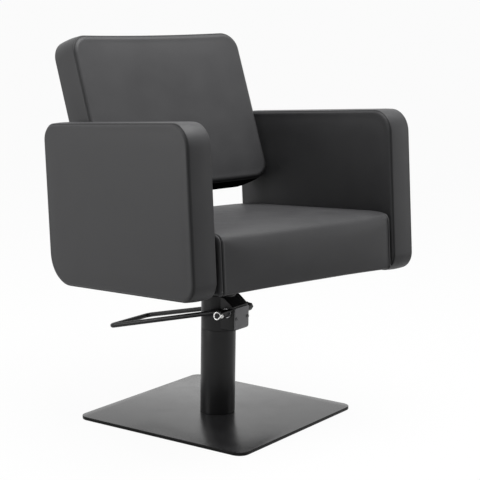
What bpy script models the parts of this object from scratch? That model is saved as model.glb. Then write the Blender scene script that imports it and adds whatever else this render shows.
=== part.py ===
# A hydraulic hairdressing chair: two upholstered arm panels, a seat and a raked back on a
# pedal-operated pump column that stands on a square floor plate.
# The chair faces -Y and +Z is up. The origin is on the floor, on the column's axis.
# Left and right are the sitter's, so the right arm is at -X.

import math

import bmesh
import bpy
from mathutils import Matrix, Vector

# Gaps between pieces, in metres like every length here
FIT_GAP = 0.0003
RUNNING_GAP = 0.0005

# Facets of the round pieces and divisions of the soft ones
ROUND_STEPS = 32
SMALL_ROUND_STEPS = 16
BOLT_STEPS = 12
HEXAGON_STEPS = 6
ARC_STEPS = 6
RUN_STEPS = 6
ARM_RUN_STEPS = 2
EDGE_STEPS = 3
BACK_CORNER_STEPS = 5
BACK_RISE_STEPS = 4
BEVEL_SEGMENTS = 2
BAR_RESOLUTION = 2
WIRE_RESOLUTION = 1
SEAT_STATIONS = (0.75, 0.45, 0.15)
CROWN_STATIONS = (1.0, 0.5, 0.25)
BEVEL_ANGLE_DEG = 35.0
SMOOTH_ANGLE_DEG = 30.0
SCREW_MERGE = 0.00001
CURVE_MERGE = 0.000002
AXES_SIZE = 0.05

# Floor plate
PLATE_SIDE = 0.450
PLATE_THICKNESS = 0.008
PLATE_CORNER_RADIUS = 0.025
PLATE_EDGE_ROUNDING = 0.0012
BASE_TURN_DEG = 15.0
BASE_SCREWS = 4
BASE_SCREW_CIRCLE = 0.024
BASE_SCREW_RADIUS = 0.004
BASE_SCREW_HEAD_RADIUS = 0.0075
BASE_SCREW_SINK = 0.0008
BASE_SCREW_LENGTH = 0.019

# Column and the cylinder inside it
COLUMN_RADIUS = 0.039
COLUMN_WALL = 0.003
FOOT_PLUG_HEIGHT = 0.018
CYLINDER_WALL = 0.004
CYLINDER_SINK = 0.026
BARREL_SIDE_GAP = 0.0007

# Pump head with its box on the front, set out from the pedal's axis
PEDAL_AXIS_HEIGHT = 0.2505
HEAD_FOOT = 0.004
HEAD_RISE = 0.023
HEAD_TOP_CHAMFER = 0.004
BOX_WIDTH = 0.060
BOX_NOSE = 0.019
BOX_DROP = 0.0415
BOX_RISE = 0.0145
BOX_ROOF_SLOPE_DEG = 38.0
BOX_EDGE_ROUNDING = 0.003
BOX_CHEEK = 0.016
BOX_ROOF_WALL = 0.003
BOX_FLOOR = 0.011
COVER_THICKNESS = 0.003
COVER_MARGIN = 0.003
COVER_CORNER_RADIUS = 0.004
COVER_SCREW_RADIUS = 0.002
COVER_SCREW_HEAD_RADIUS = 0.0038
COVER_SCREW_HEAD = 0.0018
COVER_SCREW_LENGTH = 0.010

# Gland, ram and piston
GLAND_FLANGE_RADIUS = 0.031
GLAND_FLANGE = 0.005
WIPER_WIDTH = 0.004
WIPER_DEPTH = 0.006
RAM_SIDE_ROOM = 0.004
RAM_TAPER_DEG = 2.0
RAM_TAPER_LENGTH = 0.030
PISTON_CLEARANCE = 0.0068
PISTON_HEIGHT = 0.018
PISTON_SIDE_GAP = 0.0006
PISTON_PIN_RADIUS = 0.005
PISTON_PIN_LENGTH = 0.012
SEAL_WIDTH = 0.003
SEAL_HEIGHT = 0.008
SEAL_SIDE_GAP = 0.00025
WASHER_THICKNESS = 0.003

# Pedal, its shaft and the pump's small plunger
PEDAL_REACH = 0.262
PEDAL_SLOPE_DEG = 13.7
PEDAL_BAR_RADIUS = 0.0055
PEDAL_BAR_LIFT = 0.007
PEDAL_END_WIDTH = 0.146
PEDAL_BEND_RADIUS = 0.014
PEDAL_HUB_RADIUS = 0.0095
PEDAL_HUB_LENGTH = 0.021
PEDAL_HUB_STEP = 0.0015
SHAFT_RADIUS = 0.007
SHAFT_WASHER_RADIUS = 0.011
SHAFT_WASHER = 0.0044
SHAFT_THREAD_RADIUS = 0.005
SHAFT_NUT_RADIUS = 0.0088
SHAFT_NUT = 0.0045
CAM_HUB_RADIUS = 0.0105
CAM_TIP_RADIUS = 0.0035
CAM_THICKNESS = 0.014
CAM_THROW = 0.0165
PLUNGER_RADIUS = 0.0035
PLUNGER_TIP_RADIUS = 0.001
PLUNGER_TIP_HEIGHT = 0.002
PLUNGER_LENGTH = 0.0817
BARREL_RADIUS = 0.0058
BARREL_LENGTH = 0.070

# Return spring of the pedal and the post that holds its fixed leg
SPRING_RADIUS = 0.0078
SPRING_WIRE_RADIUS = 0.0016
SPRING_TURNS = 3
SPRING_PITCH = 0.0038
SPRING_POINTS_PER_TURN = 10
SPRING_HOOK = 0.010
SPRING_LEG = 0.0165
SPRING_LEG_RISE_DEG = 45.0
POST_RADIUS = 0.0025
POST_ALONG_LEG = 0.0135
POST_INSET = 0.008

# Seat
TUB_TILT_DEG = 4.9
SEAT_WIDTH = 0.503
SEAT_FRONT = 0.307
SEAT_REAR = 0.200
SEAT_HEIGHT = 0.128
SEAT_FRONT_RADIUS = 0.027
SEAT_REAR_RADIUS = 0.018
SEAT_HEM_RADIUS = 0.010
SEAT_LEAST_RADIUS = 0.0025
SEAT_SIDE_ROUNDING = 0.004
SEAT_CROWN = 0.006
SEAT_BULGE = 0.007
SEAT_SIDE_PAD = 0.010
SEAT_FRONT_PAD = 0.020
SEAT_REAR_PAD = 0.012
SEAT_FRAME_HEIGHT = 0.070
SEAT_BOARD = 0.015
SEAT_RAIL = 0.028
SEAT_CROSS_RAIL = 0.040
DUST_COVER = 0.001
DUST_COVER_LAP = 0.005

# Bracket between the ram and the seat
BRACKET_SIDE = 0.210
BRACKET_PLATE = 0.006
BRACKET_CORNER_RADIUS = 0.020
BRACKET_HUB_RADIUS = 0.026
BRACKET_HUB_LENGTH = 0.034
BRACKET_RIBS = 4
BRACKET_RIB = 0.005
BRACKET_RIB_REACH = 0.090
BRACKET_BOLT_EDGE = 0.025
BRACKET_HUB_CLEARANCE = 0.0037
BRACKET_CUTOUT_MARGIN = 0.003

# Arms
ARM_GAP = 0.001
ARM_THICKNESS = 0.0625
ARM_HEIGHT = 0.360
ARM_LEAD = 0.001
ARM_TRAIL = 0.012
ARM_DROP = 0.0073
ARM_FRONT_TOP_RADIUS = 0.050
ARM_REAR_TOP_RADIUS = 0.038
ARM_REAR_BOTTOM_RADIUS = 0.070
ARM_FRONT_BOTTOM_RADIUS = 0.045
ARM_EDGE_ROUNDING = 0.003
ARM_CROWN = 0.001
ARM_CROWN_REACH = 0.110
ARM_BAND_SWELL = 0.0015
ARM_PAD = 0.0125
ARM_RAIL = 0.070
ARM_WINDOW_MARGIN = 0.024
ARM_WINDOW_RADIUS = 0.008
ARM_FOOT_LENGTH = 0.300
ARM_FOOT_LIFT = 0.0015

# Back
BACK_SETBACK = 0.0833
BACK_SEAT_GAP = 0.0684
BACK_RAKE_DEG = 17.15
BACK_SIDE_GAP = 0.0105
BACK_HEIGHT = 0.367
BACK_THICKNESS = 0.0895
BACK_CORNER_RADIUS = 0.042
BACK_EDGE_ROUNDING = 0.014
BACK_BEND = 0.012
BACK_CROWN = 0.004
BACK_TOP_RISE = 0.012
BACK_RISE_POWER = 4
BACK_WALL = 0.010
BACK_FOAM = 0.036
BACK_BOARD = 0.025
PANEL_ROUNDING = 0.004
PANEL_RECESS = 0.001

# Bolts that hold the arms, the back and the bracket
BOLT_RADIUS = 0.004
BOLT_HEAD_RADIUS = 0.008
BOLT_HEAD = 0.005
BOLT_HEAD_SINK = 0.007
BOLT_GRIP = 0.020
BOLT_POCKET_MARGIN = 0.002
ARM_BOLT_FRONT = 0.200
ARM_BOLT_REAR = 0.100
ARM_BOLT_LIFT = 0.035
BACK_BOLT_LOW = 0.026
BACK_BOLT_SPACING = 0.084
SPACER_RADIUS = 0.014

# Values that follow from those above
PLUNGER_REACH = COLUMN_RADIUS - COLUMN_WALL - BARREL_SIDE_GAP - BARREL_RADIUS
CYLINDER_BORE_RADIUS = PLUNGER_REACH - BARREL_RADIUS - BARREL_SIDE_GAP - CYLINDER_WALL
BORE_RADIUS = CYLINDER_BORE_RADIUS + CYLINDER_WALL + FIT_GAP
RAM_RADIUS = CYLINDER_BORE_RADIUS - RAM_SIDE_ROOM
PEDAL_AXIS_REACH = PLUNGER_REACH + CAM_THROW
BOX_REACH = PEDAL_AXIS_REACH + BOX_NOSE
BOX_FACE = BOX_REACH - COVER_THICKNESS - FIT_GAP
BOX_BOTTOM = PEDAL_AXIS_HEIGHT - BOX_DROP
BOX_SHOULDER = PEDAL_AXIS_HEIGHT + BOX_RISE
COLUMN_TOP = BOX_BOTTOM - HEAD_FOOT
HEAD_TOP = BOX_SHOULDER + HEAD_RISE
GLAND_TOP = HEAD_TOP + FIT_GAP + GLAND_FLANGE
CYLINDER_TOP = HEAD_TOP - CYLINDER_SINK
CYLINDER_BOTTOM = PLATE_THICKNESS + FOOT_PLUG_HEIGHT + 2 * FIT_GAP
RAM_BOTTOM = CYLINDER_BOTTOM + PISTON_CLEARANCE + PISTON_HEIGHT + WASHER_THICKNESS + 2 * FIT_GAP
COVER_SCREW_SPACING = BOX_WIDTH - BOX_CHEEK
HUB_INNER = BOX_WIDTH / 2 + SHAFT_WASHER + 2 * FIT_GAP
SHAFT_HALF = HUB_INNER + PEDAL_HUB_LENGTH
PEDAL_ROOT_WIDTH = 2 * (SHAFT_HALF - PEDAL_HUB_STEP - PEDAL_BAR_RADIUS)
BRACKET_BOLT_SPACING = BRACKET_SIDE - 2 * BRACKET_BOLT_EDGE
SEAT_UNDERSIDE = GLAND_TOP + BRACKET_HUB_CLEARANCE + BRACKET_HUB_LENGTH + BRACKET_PLATE
ARM_FRONT = SEAT_FRONT + ARM_LEAD
ARM_DEPTH = ARM_FRONT + SEAT_REAR + ARM_TRAIL
ARM_INNER = SEAT_WIDTH / 2 + ARM_GAP
ARM_CENTRE = ARM_INNER + ARM_THICKNESS / 2
ARM_CORE = ARM_THICKNESS - 2 * ARM_PAD
BOLT_SEAT = ARM_CENTRE + ARM_CORE / 2 - BOLT_HEAD_SINK
BACK_LIFT = SEAT_HEIGHT + BACK_SEAT_GAP
BACK_WIDTH = 2 * (ARM_INNER - BACK_SIDE_GAP)
BACK_BOLT_DEPTH = BACK_FOAM + BACK_BOARD / 2
SEAT_FRAME_HALF = SEAT_WIDTH / 2 - SEAT_SIDE_PAD
BACK_BOARD_HALF = BACK_WIDTH / 2 - BACK_WALL
OVERCUT = 0.010
SHORT_OVERCUT = 0.0025

# Colour, roughness and metallic value of each material
MATERIALS = {
    "black_vinyl": ((0.045, 0.045, 0.047), 0.45, 0.0),
    "satin_black_paint": ((0.02, 0.02, 0.021), 0.38, 0.0),
    "grey_paint": ((0.12, 0.12, 0.125), 0.4, 0.0),
    "bright_zinc": ((0.75, 0.75, 0.74), 0.35, 1.0),
    "chromed_steel": ((0.8, 0.8, 0.82), 0.08, 1.0),
    "plain_steel": ((0.45, 0.45, 0.46), 0.35, 1.0),
    "black_rubber": ((0.02, 0.02, 0.02), 0.8, 0.0),
    "plywood": ((0.55, 0.4, 0.25), 0.7, 0.0),
    "black_lining": ((0.03, 0.03, 0.03), 0.95, 0.0),
}


# Scene helpers


def clear_scene():
    for old in list(bpy.data.objects):
        bpy.data.objects.remove(old, do_unlink=True)


def new_collection(name):
    collection = bpy.data.collections.new(name)
    bpy.context.scene.collection.children.link(collection)
    return collection


def new_material(name):
    colour, roughness, metallic = MATERIALS[name]
    material = bpy.data.materials.new(name)
    material.use_nodes = True
    shader = material.node_tree.nodes["Principled BSDF"]
    shader.inputs["Base Color"].default_value = (*colour, 1.0)
    shader.inputs["Roughness"].default_value = roughness
    shader.inputs["Metallic"].default_value = metallic
    return material


def axes(name, parent=None, location=(0, 0, 0), rotation=(0, 0, 0)):
    empty = bpy.data.objects.new(name, None)
    empty.empty_display_size = AXES_SIZE
    empty.location = location
    empty.rotation_euler = rotation
    empty.parent = parent
    parts.objects.link(empty)
    return empty


def place(name, mesh, material, parent, location=(0, 0, 0), rotation=(0, 0, 0)):
    piece = bpy.data.objects.new(name, mesh)
    piece.location = location
    piece.rotation_euler = rotation
    piece.parent = parent
    if not mesh.materials:
        mesh.materials.append(materials[material])
    parts.objects.link(piece)
    return piece


def helper(name, mesh, parent, location=(0, 0, 0), rotation=(0, 0, 0)):
    shape = bpy.data.objects.new(name, mesh)
    shape.location = location
    shape.rotation_euler = rotation
    shape.parent = parent
    shape.hide_render = True
    shape.display_type = "WIRE"
    cutters.objects.link(shape)
    return shape


def boolean(piece, other, operation="DIFFERENCE"):
    modifier = piece.modifiers.new(operation.lower() + "_" + other.name, "BOOLEAN")
    modifier.operation = operation
    modifier.object = other


def bevel(piece, width):
    modifier = piece.modifiers.new("rounded_edges", "BEVEL")
    modifier.width = width
    modifier.segments = BEVEL_SEGMENTS
    modifier.limit_method = "ANGLE"
    modifier.angle_limit = math.radians(BEVEL_ANGLE_DEG)


def screw(piece, steps):
    modifier = piece.modifiers.new("turned", "SCREW")
    modifier.steps = steps
    modifier.render_steps = steps
    modifier.use_merge_vertices = True
    modifier.merge_threshold = SCREW_MERGE


# Mesh helpers


def finished(work, name):
    bmesh.ops.recalc_face_normals(work, faces=work.faces)
    mesh = bpy.data.meshes.new(name)
    work.to_mesh(mesh)
    work.free()
    mesh.shade_smooth()
    mesh.set_sharp_from_angle(angle=math.radians(SMOOTH_ANGLE_DEG))
    return mesh


def profile_mesh(name, points, ring=False):
    """Edges of a turned profile of (radius, height), down the outer side first."""
    count = len(points)
    edges = [(i, (i + 1) % count) for i in range(count if ring else count - 1)]
    mesh = bpy.data.meshes.new(name)
    mesh.from_pydata([(radius, 0, height) for radius, height in points], edges, [])
    return mesh


def turned(name, points, material, parent, steps=ROUND_STEPS, ring=False, **placing):
    piece = place(name, profile_mesh(name, points, ring), material, parent, **placing)
    screw(piece, steps)
    return piece


def ring_profile(inner, outer, bottom, top):
    return [(outer, top), (outer, bottom), (inner, bottom), (inner, top)]


def disc_profile(radius, bottom, top):
    return [(0, top), (radius, top), (radius, bottom), (0, bottom)]


def box_mesh(name, boxes):
    """Boxes of (x range, y range, z range) in one mesh."""
    work = bmesh.new()
    for ranges in boxes:
        centre = Vector([(low + high) / 2 for low, high in ranges])
        size = Vector([high - low for low, high in ranges])
        bmesh.ops.create_cube(work, size=1, matrix=Matrix.LocRotScale(centre, None, size))
    return finished(work, name)


def rod_mesh(name, rods, steps):
    """Cylinders of (start, end, radius) in one mesh."""
    work = bmesh.new()
    for start, end, radius in rods:
        run = Vector(end) - Vector(start)
        turn = run.to_track_quat("Z", "Y")
        middle = Vector(start) + run / 2
        bmesh.ops.create_cone(
            work,
            cap_ends=True,
            segments=steps,
            radius1=radius,
            radius2=radius,
            depth=run.length,
            matrix=Matrix.LocRotScale(middle, turn, None),
        )
    return finished(work, name)


def curve_to_mesh(name, curve):
    guide = bpy.data.objects.new(name + "_guide", curve)
    cutters.objects.link(guide)
    graph = bpy.context.evaluated_depsgraph_get()
    mesh = bpy.data.meshes.new_from_object(guide.evaluated_get(graph))
    bpy.data.objects.remove(guide)
    work = bmesh.new()
    work.from_mesh(mesh)
    bpy.data.meshes.remove(mesh)
    bmesh.ops.remove_doubles(work, verts=work.verts, dist=CURVE_MERGE)
    return finished(work, name)


def add_poly(curve, points, cyclic):
    spline = curve.splines.new("POLY")
    spline.points.add(len(points) - 1)
    for target, point in zip(spline.points, points):
        target.co = (*Vector(point).to_3d(), 1)
    spline.use_cyclic_u = cyclic


def plate_mesh(name, loops, thickness):
    """A flat outline, with any further loops as holes, about the XY plane."""
    curve = bpy.data.curves.new(name, "CURVE")
    curve.dimensions = "2D"
    curve.fill_mode = "BOTH"
    curve.extrude = thickness / 2
    for loop in loops:
        add_poly(curve, loop, True)
    return curve_to_mesh(name, curve)


def tube_mesh(name, points, radius, resolution):
    curve = bpy.data.curves.new(name, "CURVE")
    curve.dimensions = "3D"
    curve.bevel_depth = radius
    curve.bevel_resolution = resolution
    curve.use_fill_caps = True
    add_poly(curve, points, False)
    return curve_to_mesh(name, curve)


def loft_mesh(name, rings):
    """A closed skin through rings of equal count, with a flat cap at each end."""
    work = bmesh.new()
    loops = [[work.verts.new(point) for point in ring] for ring in rings]
    for lower, upper in zip(loops, loops[1:]):
        for i in range(len(lower)):
            work.faces.new((lower[i - 1], lower[i], upper[i], upper[i - 1]))
    work.faces.new(loops[0])
    work.faces.new(loops[-1])
    return finished(work, name)


# Outlines


def rounded_outline(corners, run_steps=1):
    """Points anticlockwise round corners of (x, y, radius), with each run divided."""
    count = len(corners)
    stretches = []
    for i, (x, y, radius) in enumerate(corners):
        here = Vector((x, y))
        before = (Vector(corners[i - 1][:2]) - here).normalized()
        after = (Vector(corners[(i + 1) % count][:2]) - here).normalized()
        if radius == 0:
            stretches.append([here])
            continue
        half = before.angle(after) / 2
        centre = here + (before + after).normalized() * radius / math.sin(half)
        start = here + before * radius / math.tan(half) - centre
        sweep = (math.pi - 2 * half) / ARC_STEPS
        arc = [centre + Matrix.Rotation(sweep * k, 2) @ start for k in range(ARC_STEPS + 1)]
        stretches.append(arc)
    points = []
    for i, stretch in enumerate(stretches):
        points += stretch
        onward = stretches[(i + 1) % count][0]
        points += [stretch[-1].lerp(onward, k / run_steps) for k in range(1, run_steps)]
    return points


def rectangle(low_x, high_x, low_y, high_y, radii):
    """Corners anticlockwise from the low one; radii is one length or four."""
    if isinstance(radii, float):
        radii = (radii,) * 4
    places = ((low_x, low_y), (high_x, low_y), (high_x, high_y), (low_x, high_y))
    return [(*at, radius) for at, radius in zip(places, radii)]


def square(side, radius):
    return rectangle(-side / 2, side / 2, -side / 2, side / 2, radius)


def circle(radius, steps, centre=(0, 0)):
    turns = [2 * math.pi * k / steps for k in range(steps)]
    return [(centre[0] + radius * math.cos(t), centre[1] + radius * math.sin(t)) for t in turns]


def rounding_inset(radius, from_edge):
    """How far a rounded edge draws in at this distance from the edge."""
    lean = min(max(radius - from_edge, 0.0), radius)
    return radius - math.sqrt(radius**2 - lean**2)


def rounded_path(points, radius):
    """A route in space whose inner corners are arcs."""
    points = [Vector(point) for point in points]
    route = [points[0]]
    for before, here, after in zip(points, points[1:], points[2:]):
        back = (before - here).normalized()
        on = (after - here).normalized()
        half = back.angle(on) / 2
        centre = here + (back + on).normalized() * radius / math.sin(half)
        start = here + back * radius / math.tan(half) - centre
        sweep = (math.pi - 2 * half) / ARC_STEPS
        axis = start.cross(on)
        route += [centre + Matrix.Rotation(sweep * k, 3, axis) @ start for k in range(ARC_STEPS + 1)]
    return route + [points[-1]]


# Floor plate, column and foot


def screw_profile(grow, end):
    """A countersunk screw, point up, from its sunk head to its end."""
    neck = BASE_SCREW_SINK + BASE_SCREW_HEAD_RADIUS - BASE_SCREW_RADIUS
    head = BASE_SCREW_HEAD_RADIUS + grow
    shank = BASE_SCREW_RADIUS + grow
    foot = BASE_SCREW_SINK if grow == 0 else -OVERCUT
    profile = [(0, end), (shank, end), (shank, neck), (head, BASE_SCREW_SINK)]
    if grow:
        profile.append((head, foot))
    return profile + [(0, foot)]


def make_floor_plate():
    outline = rounded_outline(square(PLATE_SIDE, PLATE_CORNER_RADIUS))
    plate_lies = (0, 0, PLATE_THICKNESS / 2)
    plate_shape = plate_mesh("base_plate", [outline], PLATE_THICKNESS)
    plate = place("base_plate", plate_shape, "satin_black_paint", base_axes, plate_lies)
    bevel(plate, PLATE_EDGE_ROUNDING)
    plug_bottom = PLATE_THICKNESS + FIT_GAP
    plug_radius = COLUMN_RADIUS - COLUMN_WALL - FIT_GAP
    plug_profile = disc_profile(plug_radius, plug_bottom, plug_bottom + FOOT_PLUG_HEIGHT)
    plug = turned("foot_plug", plug_profile, "plain_steel", base_axes)
    wall = ring_profile(COLUMN_RADIUS - COLUMN_WALL, COLUMN_RADIUS, plug_bottom, COLUMN_TOP)
    turned("column_tube", wall, "satin_black_paint", base_axes, ring=True)
    screw_shape = profile_mesh("base_screw", screw_profile(0, BASE_SCREW_LENGTH))
    hole_shape = profile_mesh("base_screw_hole", screw_profile(FIT_GAP, BASE_SCREW_LENGTH + FIT_GAP))
    for number in range(BASE_SCREWS):
        turn = 2 * math.pi * (number + 0.5) / BASE_SCREWS
        at = (BASE_SCREW_CIRCLE * math.cos(turn), BASE_SCREW_CIRCLE * math.sin(turn), 0)
        fastener = place(f"base_screw_{number + 1}", screw_shape, "plain_steel", base_axes, at)
        screw(fastener, BOLT_STEPS)
        hole = helper(f"base_screw_hole_{number + 1}", hole_shape, base_axes, at)
        screw(hole, BOLT_STEPS)
        boolean(plate, hole)
        boolean(plug, hole)


# Pump: head with its box, cover, cylinder and gland


def along_x(name, loops, width):
    """A plate of (y, z) loops, turned so that its thickness lies along X."""
    mesh = plate_mesh(name, loops, width)
    mesh.transform(Matrix(((0, 0, 1, 0), (1, 0, 0, 0), (0, 1, 0, 0), (0, 0, 0, 1))))
    return mesh


def make_pump_head():
    bottom = COLUMN_TOP + FIT_GAP
    profile = [
        (0, HEAD_TOP),
        (COLUMN_RADIUS - HEAD_TOP_CHAMFER, HEAD_TOP),
        (COLUMN_RADIUS, HEAD_TOP - HEAD_TOP_CHAMFER),
        (COLUMN_RADIUS, bottom),
        (0, bottom),
    ]
    head = turned("pump_head", profile, "satin_black_paint", base_axes)
    roof_top = HEAD_TOP - HEAD_TOP_CHAMFER
    roof_run = (roof_top - BOX_SHOULDER) / math.tan(math.radians(BOX_ROOF_SLOPE_DEG))
    side = [
        (0, BOX_BOTTOM),
        (0, roof_top),
        (roof_run - BOX_FACE, roof_top),
        (-BOX_FACE, BOX_SHOULDER),
        (-BOX_FACE, BOX_BOTTOM),
    ]
    box = helper("pump_box", along_x("pump_box", [side], BOX_WIDTH), base_axes)
    bevel(box, BOX_EDGE_ROUNDING)
    boolean(head, box, "UNION")
    bore_ends = ((0, 0, bottom - OVERCUT), (0, 0, HEAD_TOP + OVERCUT))
    bore = rod_mesh("cylinder_bore", [(*bore_ends, BORE_RADIUS)], ROUND_STEPS)
    boolean(head, helper("cylinder_bore", bore, base_axes))
    cavity_half = BOX_WIDTH / 2 - BOX_CHEEK
    cavity_back = PLUNGER_REACH - CAM_TIP_RADIUS - RUNNING_GAP
    cavity = (
        (-cavity_half, cavity_half),
        (-BOX_FACE - OVERCUT, -cavity_back),
        (BOX_BOTTOM + BOX_FLOOR, BOX_SHOULDER - BOX_ROOF_WALL),
    )
    boolean(head, helper("cam_cavity", box_mesh("cam_cavity", [cavity]), base_axes))
    at = (-PEDAL_AXIS_REACH, PEDAL_AXIS_HEIGHT)
    reach = BOX_WIDTH / 2 + OVERCUT
    shaft_bore = [((-reach, *at), (reach, *at), SHAFT_RADIUS + RUNNING_GAP)]
    boolean(head, helper("shaft_bore", rod_mesh("shaft_bore", shaft_bore, ROUND_STEPS), base_axes))
    low = (0, -PLUNGER_REACH, BOX_BOTTOM - OVERCUT)
    high = (0, -PLUNGER_REACH, BOX_BOTTOM + BOX_FLOOR + SHORT_OVERCUT)
    seat = rod_mesh("barrel_seat", [(low, high, BARREL_RADIUS + FIT_GAP)], SMALL_ROUND_STEPS)
    boolean(head, helper("barrel_seat", seat, base_axes))
    post_start, post_end = post_ends()
    post_hole = [(post_start + Vector((FIT_GAP, 0, 0)), post_end, POST_RADIUS + FIT_GAP)]
    boolean(head, helper("post_hole", rod_mesh("post_hole", post_hole, BOLT_STEPS), base_axes))
    return head


def make_cover(head):
    half = BOX_WIDTH / 2 - COVER_MARGIN
    low = BOX_BOTTOM + COVER_MARGIN
    high = BOX_SHOULDER - COVER_MARGIN
    outline = rounded_outline(rectangle(-half, half, low, high, COVER_CORNER_RADIUS))
    middle = (low + high) / 2
    spots = [(side * COVER_SCREW_SPACING / 2, middle) for side in (-1, 1)]
    holes = [circle(COVER_SCREW_RADIUS + FIT_GAP, BOLT_STEPS, spot) for spot in spots]
    upright = (math.radians(90), 0, 0)
    lies = (0, -BOX_REACH + COVER_THICKNESS / 2, 0)
    shape = plate_mesh("head_cover", [outline, *holes], COVER_THICKNESS)
    place("head_cover", shape, "grey_paint", base_axes, lies, upright)
    screw_shape = profile_mesh(
        "cover_screw",
        bolt_profile(COVER_SCREW_RADIUS, COVER_SCREW_LENGTH, COVER_SCREW_HEAD_RADIUS, COVER_SCREW_HEAD),
    )
    rods = []
    for number, (x, z) in enumerate(spots):
        at = (x, -BOX_REACH - FIT_GAP, z)
        fastener = place(f"cover_screw_{number + 1}", screw_shape, "grey_paint", base_axes, at, upright)
        screw(fastener, BOLT_STEPS)
        deep = -BOX_REACH + COVER_SCREW_LENGTH
        rods.append(((x, -BOX_REACH, z), (x, deep, z), COVER_SCREW_RADIUS + FIT_GAP))
    boolean(head, helper("cover_screw_holes", rod_mesh("cover_screw_holes", rods, BOLT_STEPS), base_axes))


def make_cylinder():
    outer = CYLINDER_BORE_RADIUS + CYLINDER_WALL
    wall = ring_profile(CYLINDER_BORE_RADIUS, outer, CYLINDER_BOTTOM, CYLINDER_TOP)
    turned("pressure_cylinder", wall, "plain_steel", base_axes, ring=True)
    passage = RAM_RADIUS + RUNNING_GAP
    recess = passage + WIPER_WIDTH + FIT_GAP
    recess_floor = GLAND_TOP - WIPER_DEPTH
    gland = [
        (GLAND_FLANGE_RADIUS, GLAND_TOP),
        (GLAND_FLANGE_RADIUS, HEAD_TOP + FIT_GAP),
        (outer, HEAD_TOP + FIT_GAP),
        (outer, CYLINDER_TOP + FIT_GAP),
        (passage, CYLINDER_TOP + FIT_GAP),
        (passage, recess_floor),
        (recess, recess_floor),
        (recess, GLAND_TOP),
    ]
    turned("gland_nut", gland, "satin_black_paint", base_axes, ring=True)
    wiper = ring_profile(passage, passage + WIPER_WIDTH, recess_floor + FIT_GAP, GLAND_TOP)
    turned("wiper_seal", wiper, "black_rubber", base_axes, ring=True)


# Piston, ram and bracket


def make_piston():
    top = RAM_BOTTOM - WASHER_THICKNESS - 2 * FIT_GAP
    bottom = top - PISTON_HEIGHT
    radius = CYLINDER_BORE_RADIUS - PISTON_SIDE_GAP
    seal_radius = CYLINDER_BORE_RADIUS - SEAL_SIDE_GAP
    groove_top = bottom + (PISTON_HEIGHT + SEAL_HEIGHT) / 2
    groove_bottom = groove_top - SEAL_HEIGHT
    groove = seal_radius - SEAL_WIDTH - FIT_GAP
    pin_top = top + PISTON_PIN_LENGTH
    profile = [
        (0, pin_top),
        (PISTON_PIN_RADIUS, pin_top),
        (PISTON_PIN_RADIUS, top),
        (radius, top),
        (radius, groove_top + FIT_GAP),
        (groove, groove_top + FIT_GAP),
        (groove, groove_bottom - FIT_GAP),
        (radius, groove_bottom - FIT_GAP),
        (radius, bottom),
        (0, bottom),
    ]
    turned("piston", profile, "plain_steel", lift_axes)
    seal = ring_profile(seal_radius - SEAL_WIDTH, seal_radius, groove_bottom, groove_top)
    turned("piston_seal", seal, "black_rubber", lift_axes, ring=True)
    hole = PISTON_PIN_RADIUS + RUNNING_GAP
    washer = ring_profile(hole, RAM_RADIUS, top + FIT_GAP, top + FIT_GAP + WASHER_THICKNESS)
    turned("thrust_washer", washer, "plain_steel", lift_axes, ring=True)
    return pin_top


def make_ram(pin_top):
    hub_bottom = SEAT_UNDERSIDE - BRACKET_PLATE - BRACKET_HUB_LENGTH
    top = hub_bottom + RAM_TAPER_LENGTH
    narrowing = RAM_TAPER_LENGTH * math.tan(math.radians(RAM_TAPER_DEG))
    hole = PISTON_PIN_RADIUS + RUNNING_GAP
    hole_top = pin_top + RUNNING_GAP
    profile = [
        (0, top),
        (RAM_RADIUS - narrowing, top),
        (RAM_RADIUS, hub_bottom),
        (RAM_RADIUS, RAM_BOTTOM),
        (hole, RAM_BOTTOM),
        (hole, hole_top),
        (0, hole_top),
    ]
    turned("ram", profile, "chromed_steel", chair_axes)
    bracket_top = -FIT_GAP
    plate_shape = plate_mesh(
        "seat_bracket", [rounded_outline(square(BRACKET_SIDE, BRACKET_CORNER_RADIUS))], BRACKET_PLATE
    )
    plate_lies = (0, 0, bracket_top - BRACKET_PLATE / 2)
    bracket = place("seat_bracket", plate_shape, "satin_black_paint", tub_axes, plate_lies)
    socket = RAM_RADIUS + FIT_GAP
    hub_profile = [
        (0, SEAT_UNDERSIDE),
        (BRACKET_HUB_RADIUS, SEAT_UNDERSIDE),
        (BRACKET_HUB_RADIUS, hub_bottom),
        (socket, hub_bottom),
        (socket - narrowing, top + FIT_GAP),
        (0, top + FIT_GAP),
    ]
    hub = helper("bracket_hub", profile_mesh("bracket_hub", hub_profile), chair_axes)
    screw(hub, ROUND_STEPS)
    rib_bottom = -BRACKET_HUB_LENGTH
    rib_root = (BRACKET_HUB_RADIUS + socket) / 2
    rib_top = bracket_top - BRACKET_PLATE / 2
    rib = [
        (rib_root, rib_bottom),
        (BRACKET_RIB_REACH, rib_top - BRACKET_PLATE),
        (BRACKET_RIB_REACH, rib_top),
        (rib_root, rib_top),
    ]
    rib_shape = along_x("bracket_rib", [rib], BRACKET_RIB)
    boolean(bracket, hub, "UNION")
    for number in range(BRACKET_RIBS):
        turn = (0, 0, 2 * math.pi * number / BRACKET_RIBS)
        boolean(bracket, helper(f"bracket_rib_{number + 1}", rib_shape, tub_axes, rotation=turn), "UNION")
    reach = BRACKET_SIDE
    above = ((-reach, reach), (-reach, reach), (bracket_top, bracket_top + BRACKET_HUB_LENGTH))
    boolean(bracket, helper("bracket_trim", box_mesh("bracket_trim", [above]), tub_axes))
    return bracket


# Pedal with its shaft, cam, plunger and spring


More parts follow.
